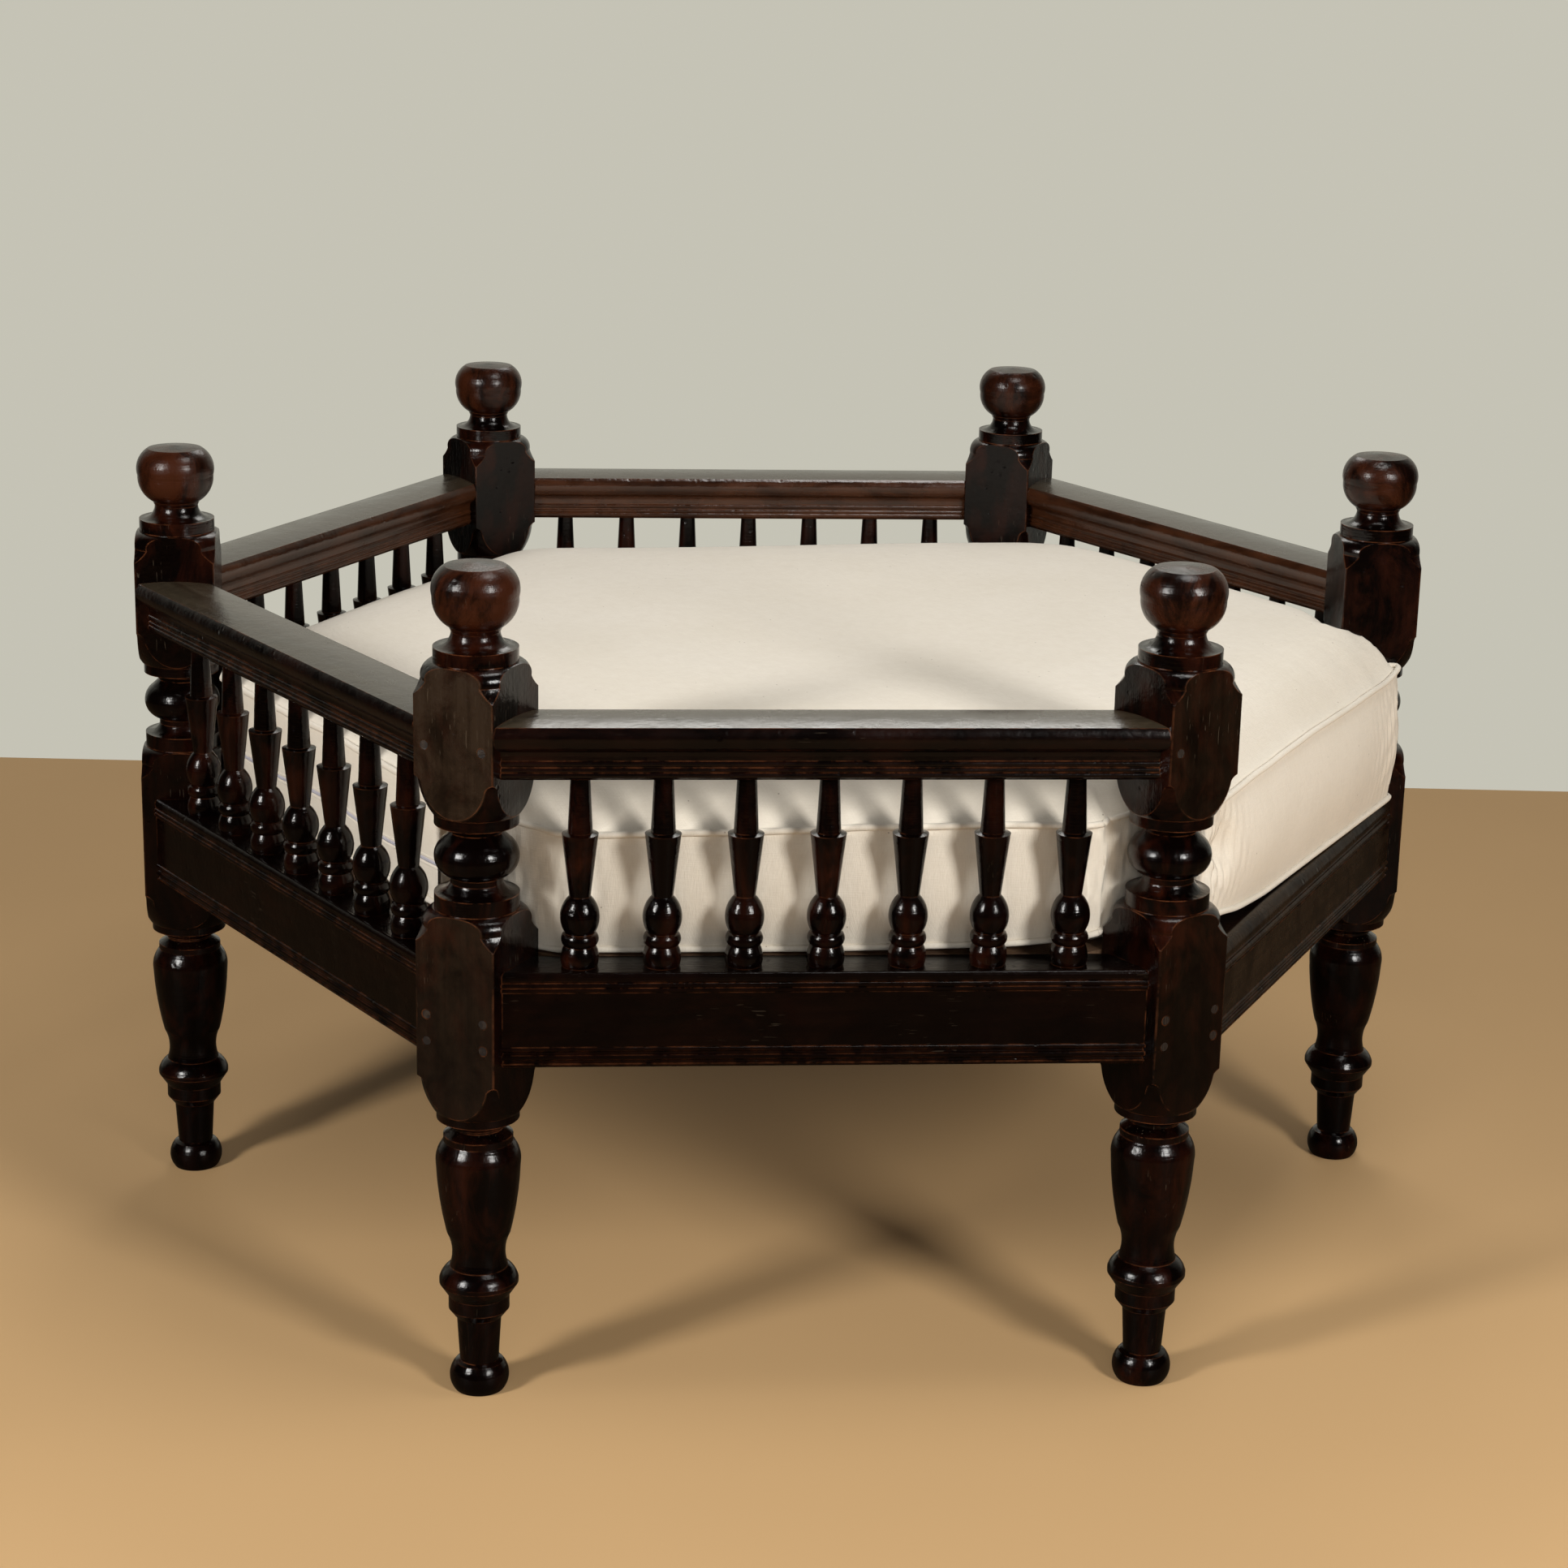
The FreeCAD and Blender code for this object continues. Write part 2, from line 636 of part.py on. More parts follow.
def make_spindle(doc, profile, side, number, along):
    spindle = doc.addObject("Part::Revolution", "spindle_" + side + "_" + str(number))
    spindle.Source = profile
    spindle.Axis = UP
    spindle.Angle = 360
    spindle.Solid = True
    angle = side_angle(side)
    x = RAIL_APOTHEM * math.cos(math.radians(angle)) - along * math.sin(math.radians(angle))
    y = RAIL_APOTHEM * math.sin(math.radians(angle)) + along * math.cos(math.radians(angle))
    place(spindle, x, y, LEVEL["seat"], angle)
    return spindle, []


def make_prism(doc, name, apothem, bottom, height, angle):
    prism = doc.addObject("Part::Prism", name)
    prism.Polygon = SIDE_COUNT
    prism.setExpression("Circumradius", (apothem / COSINE).text)
    prism.setExpression("Height", size(height).text)
    place(prism, NOTHING, NOTHING, bottom, angle)
    return prism


def make_box(doc, name, length, width, height):
    box = doc.addObject("Part::Box", name)
    box.setExpression("Length", size(length).text)
    box.setExpression("Width", size(width).text)
    box.setExpression("Height", size(height).text)
    return box


def make_boards(doc):
    """The seat's six-sided deck, notched at the posts and sawn into boards from front to back."""
    bottom = LEVEL["seat"] - "board_thickness"
    within_rails = make_prism(doc, "deck_in_rails", INNER_APOTHEM - "board_gap", bottom, "board_thickness", 0)
    within_posts = make_prism(doc, "deck_in_posts", POST_INNER - "board_gap", bottom, "board_thickness", TURN / 2)
    deck = doc.addObject("Part::MultiCommon", "deck")
    deck.Shapes = [within_rails, within_posts]
    depth = (INNER_APOTHEM - "board_gap") * 2
    pitch = (depth + "board_gap") / BOARD_COUNT
    boards = []
    for number in range(BOARD_COUNT):
        strip = make_box(doc, "strip", size("side_length") * 2, pitch - "board_gap", "board_thickness")
        place(strip, -size("side_length"), pitch * number - depth / 2, bottom)
        board = doc.addObject("Part::Common", "seat_board_" + str(number + 1))
        board.Base = deck
        board.Tool = strip
        boards.append((board, []))
    return boards


def make_bearers(doc):
    """A ledger inside each slanting seat rail and one bearer across the middle, all under the boards."""
    top = LEVEL["seat"] - "board_thickness"
    pieces = []
    length = size("side_length") - size("ledger_end_gap") * 2
    for side in SIDES:
        if side in (OPEN_SIDE, SIDES[SIDE_COUNT // 2]):
            continue
        angle = side_angle(side)
        ledger = make_box(doc, "ledger", "ledger_width", length, "ledger_height")
        near = INNER_APOTHEM - "ledger_width"
        x = near * math.cos(math.radians(angle)) + length / 2 * math.sin(math.radians(angle))
        y = near * math.sin(math.radians(angle)) - length / 2 * math.cos(math.radians(angle))
        place(ledger, x, y, top - "ledger_height", angle)
        pieces.append(ledger)
    reach = INNER_APOTHEM + "bearer_housing"
    bearer = make_box(doc, "middle_bearer", "bearer_width", reach * 2, "bearer_height")
    place(bearer, -size("bearer_width") / 2, -reach, top - "bearer_height")
    pieces.append(bearer)
    group = doc.addObject("Part::Compound", "seat_bearers")
    group.Links = pieces
    return group, []


def meeting(first, second):
    """Where two straight lines cross: each is given by the angle of its normal and its distance out."""
    a, p = math.radians(first[0]), first[1]
    b, q = math.radians(second[0]), second[1]
    spread = math.sin(b - a)
    return Vector((p * math.sin(b) - q * math.sin(a)) / spread, (q * math.cos(a) - p * math.cos(b)) / spread, 0)


def cushion_edges():
    """The cushion's plan as a row of (corner, drawn-in middle or None for a straight edge) round the bench."""
    railed = (RAIL_APOTHEM - size("top_rail_width") / 2 - "cushion_gap").value
    fronted = (APOTHEM + "cushion_overhang").value
    posted = (POST_INNER - "cushion_gap").value
    beside = (HALF_SQUARE + "cushion_post_gap").value
    draw_in = NAMED["cushion_draw"]
    corners = []
    for number, side in enumerate(SIDES):
        angle = side_angle(side)
        line = (angle, fronted if side == OPEN_SIDE else railed)
        before = (angle - TURN / 2, posted)
        after = (angle + TURN / 2, posted)
        if side == OPEN_SIDE:
            left = (before[0] + 90, beside)
            right = (after[0] - 90, beside)
            corners += [(meeting(before, left), False), (meeting(left, line), False)]
            corners += [(meeting(line, right), True), (meeting(right, after), False)]
        else:
            corners += [(meeting(before, line), False), (meeting(line, after), True)]
    edges = []
    for (start, ignored), (end, drawn) in zip(corners[-1:] + corners[:-1], corners):
        middle = (start + end) / 2
        inward = middle * (draw_in / middle.Length)
        edges.append((start, middle - inward if drawn else None, end))
    return edges


def cushion_level(edges, drawn_in, up):
    """The plan drawn in by a share and raised to a height, as a closed wire."""
    def at(corner):
        return corner * (1 - drawn_in) + Vector(0, 0, up)
    lines = []
    for start, middle, end in edges:
        if middle is None:
            lines.append(Part.LineSegment(at(start), at(end)).toShape())
        else:
            lines.append(Part.Arc(at(start), at(middle), at(end)).toShape())
    return Part.Wire(lines)


def make_cushion(doc):
    """A box cushion with upright sides that draw in between the posts, and a crowned top."""
    edges = cushion_edges()
    bottom = (LEVEL["seat"] + "seat_gap").value
    boxing = NAMED["cushion_boxing"]
    crown = NAMED["cushion_crown"]
    sides = [cushion_level(edges, drawn_in, bottom + boxing * up) for drawn_in, up in BOXING_SHARES]
    top = [cushion_level(edges, drawn_in, bottom + boxing + crown * up) for drawn_in, up in CROWN_SHARES]
    cushion = doc.addObject("Part::Feature", "cushion")
    cushion.Shape = Part.makeLoft(sides + top, True, True)
    return cushion, []


def check(doc, nodes):
    """Stop before anything is written if an object failed or a cut removed nothing."""
    for item in doc.Objects:
        if "Invalid" in item.State or "Error" in item.State:
            raise RuntimeError(item.Label + " failed: " + str(item.State))
    for item, features in nodes:
        if item.Shape.isNull() or not item.Shape.isValid() or not item.Shape.Solids:
            raise RuntimeError(item.Label + " has no sound shape")
        for before, after in zip(features, features[1:]):
            change = after.Shape.Volume - before.Shape.Volume
            if abs(change) < before.Shape.Volume * LEAST_CHANGE_SHARE:
                raise RuntimeError(item.Label + ": " + after.Label + " changed nothing")


def main():
    doc = FreeCAD.newDocument("meditation_bench")
    write_sheet(doc)
    blank, blank_features = make_blank(doc)
    nodes = [make_post(doc, blank, post) for post in POSTS]
    nodes += [make_seat_rail(doc, side) for side in SIDES]
    nodes += [make_top_rail(doc, side) for side in SIDES if side != OPEN_SIDE]
    profile = spindle_profile(doc)
    for side in SIDES:
        if side != OPEN_SIDE:
            for number, along in enumerate(spindle_places(), start=1):
                nodes.append(make_spindle(doc, profile, side, number, along))
    nodes.append(make_pegs(doc))
    nodes += make_boards(doc)
    nodes.append(make_bearers(doc))
    nodes.append(make_cushion(doc))
    doc.recompute()
    check(doc, [(blank, blank_features)] + nodes)
    os.makedirs("parts", exist_ok=True)
    for item, features in nodes:
        item.Shape.exportStep("parts/" + item.Label + ".step")
    print(len(nodes), "sub-parts written")


main()
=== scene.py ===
"""The meditation bench dressed for its picture: dark shellacked hardwood and a piped cotton cushion."""
import math

import bpy
from mathutils import Matrix, Vector
from mathutils.kdtree import KDTree
from mathutils.noise import noise as noise_at


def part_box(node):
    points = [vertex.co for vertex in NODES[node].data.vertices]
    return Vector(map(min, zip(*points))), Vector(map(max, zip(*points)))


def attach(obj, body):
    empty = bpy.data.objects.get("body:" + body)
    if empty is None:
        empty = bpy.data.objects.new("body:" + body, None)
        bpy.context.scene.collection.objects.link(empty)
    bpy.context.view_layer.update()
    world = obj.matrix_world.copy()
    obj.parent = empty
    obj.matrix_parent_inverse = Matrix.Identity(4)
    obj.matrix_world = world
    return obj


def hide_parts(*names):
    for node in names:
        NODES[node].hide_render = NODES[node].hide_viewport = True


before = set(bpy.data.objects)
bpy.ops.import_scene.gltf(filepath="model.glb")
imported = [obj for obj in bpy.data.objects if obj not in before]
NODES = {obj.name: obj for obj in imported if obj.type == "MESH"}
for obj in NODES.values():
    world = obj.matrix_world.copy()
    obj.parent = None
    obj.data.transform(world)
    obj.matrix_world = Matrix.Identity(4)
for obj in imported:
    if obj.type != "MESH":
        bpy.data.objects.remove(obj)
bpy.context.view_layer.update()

SIDES = ("front", "front_right", "back_right", "back", "back_left", "front_left")
POSTS = ("front_right", "right", "back_right", "back_left", "left", "front_left")
OPEN_POSTS = ("front_left", "front_right")
SPINDLES_PER_SIDE = 7
SEAT_BOARDS = 5
TURN = math.radians(60)


def middle_of(node):
    """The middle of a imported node's box, to a tenth of a millimetre."""
    low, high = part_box(node)
    return [round((a + b) / 2, 4) for a, b in zip(low, high)]


# How far out from the middle of the bench the posts' axes and the rails' middles stand, half a post's width,
# its inner face, and the height that the cushion lies at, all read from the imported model.
POST_RING = middle_of("post_right")[0]
POST_HALF = round(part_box("post_right")[1][1], 4)
POST_FACE = round(POST_RING - POST_HALF, 4)
RAIL_LINE = middle_of("top_rail_back")[1]
CUSHION_BASE = round(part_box("cushion")[0][2], 4)


def side_angle(side):
    """The direction that a side of the bench faces, about the vertical."""
    return math.radians(-90) + TURN * SIDES.index(side)


def post_angle(post):
    """The direction that a post stands in from the middle of the bench."""
    return math.radians(-60) + TURN * POSTS.index(post)


# Node helpers

def start_material(name):
    """A new material with its shader and output, and nothing else in it."""
    material = bpy.data.materials.new(name)
    material.use_nodes = True
    tree = material.node_tree
    tree.nodes.clear()
    output = tree.nodes.new("ShaderNodeOutputMaterial")
    shader = tree.nodes.new("ShaderNodeBsdfPrincipled")
    tree.links.new(shader.outputs["BSDF"], output.inputs["Surface"])
    return material, tree, shader


def put(tree, kind, inputs, **settings):
    """Add a node. Each input is a number, a colour or another node's socket."""
    node = tree.nodes.new("ShaderNode" + kind)
    for name, value in settings.items():
        setattr(node, name, value)
    for key, value in inputs.items():
        if isinstance(value, bpy.types.NodeSocket):
            tree.links.new(value, node.inputs[key])
        else:
            node.inputs[key].default_value = value
    return node


def object_space(tree):
    return put(tree, "TexCoord", {}).outputs["Object"]


def noise(tree, space, scale, detail=3.0, rough=0.55, twist=0.0):
    inputs = {"Vector": space, "Scale": scale, "Detail": detail, "Roughness": rough, "Distortion": twist}
    return put(tree, "TexNoise", inputs).outputs["Fac"]


def wave(tree, space, scale, twist, detail, along="X"):
    inputs = {"Vector": space, "Scale": scale, "Distortion": twist, "Detail": detail}
    return put(tree, "TexWave", inputs, bands_direction=along).outputs["Fac"]


def stretch(tree, space, scale):
    return put(tree, "Mapping", {"Vector": space, "Scale": scale}).outputs["Vector"]


def maths(tree, operation, *values):
    return put(tree, "Math", dict(enumerate(values)), operation=operation).outputs[0]


def product(tree, first, *others):
    for other in others:
        first = maths(tree, "MULTIPLY", first, other)
    return first


def total(tree, first, *others):
    for other in others:
        first = maths(tree, "ADD", first, other)
    return first


def along_direction(tree, vector, direction):
    """How far a vector goes in a direction."""
    return put(tree, "VectorMath", {0: vector, 1: direction}, operation="DOT_PRODUCT").outputs["Value"]


def length_of(tree, vector):
    return put(tree, "VectorMath", {0: vector}, operation="LENGTH").outputs["Value"]


def span(tree, value, low, high, out_low=0.0, out_high=1.0):
    """Carry a value from one range to another, held at the ends."""
    inputs = {"Value": value, "From Min": low, "From Max": high, "To Min": out_low, "To Max": out_high}
    return put(tree, "MapRange", inputs).outputs["Result"]


def blend(tree, share, first, second):
    """A colour between two others."""
    node = tree.nodes.new("ShaderNodeMix")
    node.data_type = "RGBA"
    for socket, value in zip((node.inputs[0], node.inputs[6], node.inputs[7]), (share, first, second)):
        if isinstance(value, bpy.types.NodeSocket):
            tree.links.new(value, socket)
        else:
            socket.default_value = value if isinstance(value, float) else (*value, 1.0)
    return node.outputs[2]


def bump(tree, height, distance, under=None):
    inputs = {"Height": height, "Distance": distance, "Strength": 1.0}
    if under is not None:
        inputs["Normal"] = under
    return put(tree, "Bump", inputs).outputs["Normal"]


def piece_space(tree, angle, away):
    """The piece's own axes: X runs out from the middle of the bench and the origin is on the piece."""
    inputs = {"Vector": object_space(tree), "Location": (-away, 0.0, 0.0), "Rotation": (0.0, 0.0, -angle)}
    return put(tree, "Mapping", inputs).outputs["Vector"]


# Lacquered wood

BLACK_LACQUER = (0.0012, 0.0004, 0.0003)
RED_BROWN = (0.024, 0.0048, 0.0017)
HANDLED_BROWN = (0.035, 0.0088, 0.0030)
# Rubbed arrises; in the grooves the same warm line is a painted highlight
WORN_EDGE_AND_HIGHLIGHT_BROWN = (0.130, 0.042, 0.016)
DRY_BROWN = (0.0225, 0.0130, 0.0070)
# Rubbed wood with painted bounce light from the cushion, for a rail's inward face
RUBBED_AND_LIT_FACE = (0.062, 0.0205, 0.0078)
# Dust in the coat, with a painted sheen for the light that top faces reflect
DUST_AND_SHEEN_TOP = (0.048, 0.036, 0.022)
PALE_SCRATCH = (0.100, 0.076, 0.052)
# How tightly the grain is packed along the piece's own axes, for grain that runs along Y or Z.
GRAIN = {"y": (90.0, 5.0, 90.0), "z": (90.0, 90.0, 5.0)}
SCRATCH = {"y": (700.0, 60.0, 700.0), "z": (700.0, 700.0, 60.0)}
ARRIS = 0.0018
# Spans, as (from, to) in metres along a piece's own axes: where a post's ball begins, its outward face, where
# it turns from square to round, how its dryness fades downward, and a rail's outward and inward faces.
BALL_BEGINS = (0.690, 0.703)
POST_OUTER = (0.0374, 0.0381)
POST_ROUND = (0.0372, 0.0369)
POST_DRY = (0.36, 0.60)
RAIL_OUTER = (0.010, 0.016)
RAIL_INNER = (0.012, -0.016)


def arris(tree, reach):
    """1 on sharp edges and 0 on flat or gently curved wood."""
    rounded = put(tree, "Bevel", {"Radius": reach}, samples=4).outputs["Normal"]
    true = put(tree, "NewGeometry", {}).outputs["Normal"]
    return span(tree, along_direction(tree, rounded, true), 0.995, 0.90)


class Wood:
    """The wood of one piece while its layers go on: its own axes, grain, patches, colour and roughness."""

    def __init__(self, tree, angle, away, grain, warmth, gloss):
        self.tree, self.grain = tree, grain
        self.space = piece_space(tree, angle, away)
        self.parts = put(tree, "SeparateXYZ", {"Vector": self.space}).outputs
        self.streaks = noise(tree, stretch(tree, self.space, GRAIN[grain]), 1.0, 6.0, 0.62)
        patch_scale = tuple(24.0 if across > 50 else 13.0 for across in GRAIN[grain])
        self.patches = noise(tree, stretch(tree, self.space, patch_scale), 1.0, 5.0, 0.66, 0.6)
        broad = noise(tree, self.space, 5.0, 2.0)
        streaked = span(tree, self.streaks, 0.32, 0.7, 0.25, 1.0)
        drifting = span(tree, broad, 0.38, 0.6, 0.25, 1.0)
        reddened = product(tree, span(tree, self.patches, 0.44, 0.62), streaked, drifting, warmth * 2.0)
        self.colour = blend(tree, reddened, BLACK_LACQUER, RED_BROWN)
        self.rough = span(tree, self.patches, 0.3, 0.7, gloss - 0.03, gloss + 0.06)

    def lay(self, share, colour):
        self.colour = blend(self.tree, share, self.colour, colour)

    def dull(self, share, amount):
        self.rough = total(self.tree, self.rough, product(self.tree, share, amount))

    def handle_ball(self):
        """Hands have browned the ball on top of a post."""
        handled = span(self.tree, self.parts["Z"], *BALL_BEGINS)
        patchy = span(self.tree, self.patches, 0.40, 0.60, 0.08, 1.0)
        self.lay(product(self.tree, handled, patchy), HANDLED_BROWN)
        self.dull(handled, 0.09)

    def rub_inner_face(self, most):
        """The inward face is browner: backs and arms have rubbed its coat, and it carries painted bounce
        light from the cushion.
        """
        inward = span(self.tree, self.parts["X"], *RAIL_INNER)
        streaked = span(self.tree, self.streaks, 0.30, 0.66, 0.30, 1.0)
        patchy = span(self.tree, self.patches, 0.30, 0.55, 0.35, most)
        # Rubbing and painted bounce light on the inward face
        self.lay(product(self.tree, inward, streaked, patchy), RUBBED_AND_LIT_FACE)

    def dry_outer_face(self, most, post):
        """The outward face has dried to a dull brown mottle, on a post more so higher up."""
        tree = self.tree
        spots = noise(tree, self.space, 24.0, 5.0, 0.68, 0.4)
        outer = span(tree, self.parts["X"], *(POST_OUTER if post else RAIL_OUTER))
        streaked = span(tree, self.streaks, 0.28, 0.62, 0.45, 1.0)
        mottle = product(tree, outer, span(tree, spots, 0.36, 0.58, 0.3 * most, most), streaked)
        if post:
            mottle = product(tree, mottle, span(tree, self.parts["Z"], *POST_DRY, 0.40, 1.0))
        self.lay(mottle, DRY_BROWN)
        self.dull(mottle, 0.13)

    def dust_top(self):
        """The upper face is paler: a little dust in its coat, and a painted sheen for the light it reflects.
        """
        tree = self.tree
        normal = put(tree, "NewGeometry", {}).outputs["Normal"]
        upward = put(tree, "SeparateXYZ", {"Vector": normal}).outputs["Z"]
        streaked = span(tree, self.streaks, 0.25, 0.60, 0.55, 1.0)
        patchy = span(tree, self.patches, 0.32, 0.55, 0.6, 1.0)
        # Faces that look up turn paler: dust, and a painted sheen
        dust_and_sheen = product(tree, span(tree, upward, 0.90, 0.985), streaked, patchy)
        self.lay(dust_and_sheen, DUST_AND_SHEEN_TOP)
        self.dull(dust_and_sheen, 0.08)

    def wear(self, amount, nicks):
        """Rubbed arrises with a painted highlight on the groove edges, and thin pale nicks and scratches,
        bunched where the wood has been knocked.
        """
        tree = self.tree
        rubs = span(tree, noise(tree, self.space, 45.0, 4.0, 0.7), 0.42, 0.62)
        # Warm lines on every sharp edge: rubbed wood on the outer ones, painted highlight in the grooves
        self.lay(product(tree, arris(tree, ARRIS), rubs, amount), WORN_EDGE_AND_HIGHLIGHT_BROWN)
        fine = noise(tree, stretch(tree, self.space, SCRATCH[self.grain]), 1.0, 1.0, 0.4, 0.3)
        bunched = span(tree, noise(tree, self.space, 14.0, 2.0, 0.5), 0.54, 0.66)
        self.lay(product(tree, span(tree, fine, 0.69, 0.73), bunched, nicks), PALE_SCRATCH)

    def surface(self, open_grain, post):
        """Lumps in the coat, knocks, brush marks, pores and grain, and lathe rings on what was turned."""
        tree = self.tree
        made = bump(tree, noise(tree, self.space, 38.0, 2.0, 0.5), 0.0007)
        knocks = put(tree, "TexVoronoi", {"Vector": self.space, "Scale": 55.0, "Randomness": 1.0})
        made = bump(tree, span(tree, knocks.outputs["Distance"], 0.0, 0.16), 0.00035, made)
        made = bump(tree, noise(tree, self.space, 210.0, 2.0, 0.5), 0.00022, made)
        pores = stretch(tree, self.space, tuple(across * 9.0 for across in GRAIN[self.grain]))
        made = bump(tree, noise(tree, pores, 1.0, 3.0, 0.6), 0.00010, made)
        made = bump(tree, self.streaks, 0.00026 if open_grain else 0.00012, made)
        if self.grain == "z":
            rings = noise(tree, stretch(tree, self.space, (30.0, 30.0, 520.0)), 1.0, 2.0, 0.5)
            flat = put(tree, "CombineXYZ", {"X": self.parts["X"], "Y": self.parts["Y"]}).outputs[0]
            turned = span(tree, length_of(tree, flat), *POST_ROUND) if post else 1.0
            made = bump(tree, product(tree, rings, turned), 0.00022, made)
        return made


def lacquered_wood(name, angle, away, grain, shape, warmth, wear,
                   nicks=0.15, dry=0.0, inner=0.0, gloss=0.16, sheen=0.27):
    """Dark shellac over red-brown hardwood, for a piece that faces angle and stands away from the middle.

    dry is how dull and brown the outward face is, inner how far the inward one is rubbed and browned by
    painted bounce light, and shape is rail, handrail, post or spindle.
    """
    material, tree, shader = start_material(name)
    post = shape == "post"
    wood = Wood(tree, angle, away, grain, warmth, gloss)
    if post:
        wood.handle_ball()
    if inner > 0:
        wood.rub_inner_face(inner)
    if dry > 0:
        wood.dry_outer_face(dry, post)
    if shape == "handrail":
        wood.dust_top()
    wood.wear(wear, nicks)
    tree.links.new(wood.colour, shader.inputs["Base Color"])
    tree.links.new(wood.rough, shader.inputs["Roughness"])
    tree.links.new(wood.surface(dry > 0, post), shader.inputs["Normal"])
    shader.inputs["Specular IOR Level"].default_value = sheen
    shader.inputs["Coat Weight"].default_value = 0.04
    shader.inputs["Coat Roughness"].default_value = 0.10
    shader.inputs["Coat IOR"].default_value = 1.4
    return material


def peg_end_grain():
    """The heads of the tenon pegs: dull end grain with faint rings, a little lighter than the posts."""
    material, tree, shader = start_material("peg_end_grain")
    space = object_space(tree)
    share = product(tree, wave(tree, space, 160.0, 6.0, 2.0), noise(tree, space, 700.0, 2.0))
    colour = blend(tree, share, (0.007, 0.0036, 0.0022), (0.042, 0.025, 0.014))
    tree.links.new(colour, shader.inputs["Base Color"])
    tree.links.new(bump(tree, share, 0.0004), shader.inputs["Normal"])
    shader.inputs["Roughness"].default_value = 0.5
    return material


def sawn_board(name, angle=0.0):
    """Oiled softwood under the cushion: straight grain, saw marks and darker bands."""
    material, tree, shader = start_material(name)
    space = piece_space(tree, angle, 0.0)
    lines = noise(tree, stretch(tree, space, (4.0, 70.0, 70.0)), 1.0, 6.0, 0.6, 0.3)
    broad = noise(tree, stretch(tree, space, (1.2, 9.0, 9.0)), 1.0, 3.0)
    share = product(tree, span(tree, lines, 0.3, 0.7), span(tree, broad, 0.3, 0.7, 0.4, 1.0))
    colour = blend(tree, share, (0.045, 0.022, 0.011), (0.16, 0.09, 0.046))
    tree.links.new(colour, shader.inputs["Base Color"])
    saw_marks = bump(tree, wave(tree, space, 90.0, 1.5, 1.0), 0.0002, bump(tree, lines, 0.0004))
    tree.links.new(saw_marks, shader.inputs["Normal"])
    shader.inputs["Roughness"].default_value = 0.62
    return material


def give(node, material):
    """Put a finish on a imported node."""
    for slot in NODES[node].material_slots:
        slot.material = material


def finish_posts():
    """The left post, which stands nearest in the photograph, has the driest faces."""
    for post in POSTS:
        dry = 1.0 if post == "left" else 0.34
        wood = lacquered_wood("post_wood_" + post, post_angle(post), POST_RING, "z", "post", 0.50, 1.0,
                              nicks=0.42, dry=dry)
        give("post_" + post, wood)


def finish_rails():
    for side in SIDES:
        angle = side_angle(side)
        dry, sheen = (1.0, 0.08) if side == "front" else (0.05, 0.16)
        seat_wood = lacquered_wood("seat_rail_wood_" + side, angle, RAIL_LINE, "y", "rail", 0.10, 0.6,
                                   dry=dry, sheen=sheen)
        give("seat_rail_" + side, seat_wood)
        if side != "front":
            top_wood = lacquered_wood("top_rail_wood_" + side, angle, RAIL_LINE, "y", "handrail", 0.20, 0.7,
                                      inner=0.95, sheen=0.60)
            give("top_rail_" + side, top_wood)


def finish_spindles():
    wood = lacquered_wood("spindle_wood_all", 0.0, 0.0, "z", "spindle", 0.55, 0.4, nicks=0.08, gloss=0.15)
    for side in SIDES[1:]:
        for number in range(1, SPINDLES_PER_SIDE + 1):
            give("spindle_" + side + "_" + str(number), wood)


def finish_hidden_wood():
    give("tenon_pegs", peg_end_grain())
    boards = sawn_board("board_wood_sawn")
    for number in range(1, SEAT_BOARDS + 1):
        give("seat_board_" + str(number), boards)
    give("seat_bearers", sawn_board("bearer_wood_sawn", math.pi / 2))


# Cushion: its outline, its two piped seams and its cover

# The boxing's height, the piping's radius, how far the piping's middle stands out of its seam, and how far
# the lower seam lies above the underside.
BOXING = 0.113
PIPING = 0.0030
SEAM_PROUD = 0.0012
LOWER_SEAM_ABOVE_BASE = 0.0042
# How far out the outline runs: in front of a post, beside an open post, and along each side.
POSTED, BESIDE = 0.5540, 0.0425
OUTLINE = {"front": 0.5430, "front_right": 0.5000, "back_right": 0.5000,
           "back": 0.4990, "back_left": 0.4900, "front_left": 0.5050}
# The open side's outline lies a little aslant.
OPEN_SLANT = math.radians(-2.6)
OUTLINE_STEP = 0.006
# Heights of the upper and lower seams above the levels that they would lie at if the cover were new, as the
# photograph shows them: (distance along the side, height), in metres.
UPPER_SEAM = {
    "front_left": ((-0.28, 0.001), (-0.22, -0.006), (-0.10, -0.005), (0.02, -0.001), (0.16, 0.002),
                   (0.24, 0.0), (0.28, 0.008)),
    "front": ((-0.30, 0.006), (-0.22, 0.009), (-0.14, 0.014), (0.0, 0.017), (0.17, 0.018),
              (0.24, 0.021), (0.30, 0.032)),
    "front_right": ((-0.28, 0.034), (-0.10, 0.034), (0.10, 0.028), (0.28, 0.013)),
    "back_right": ((-0.28, 0.012), (-0.12, 0.007), (0.0, 0.006), (0.14, 0.004), (0.28, 0.004)),
    "back": ((-0.28, 0.004), (-0.12, 0.006), (0.0, 0.007), (0.14, 0.004), (0.28, 0.006)),
    "back_left": ((-0.28, 0.006), (-0.10, 0.004), (0.0, 0.006), (0.11, 0.001), (0.28, 0.001)),
}
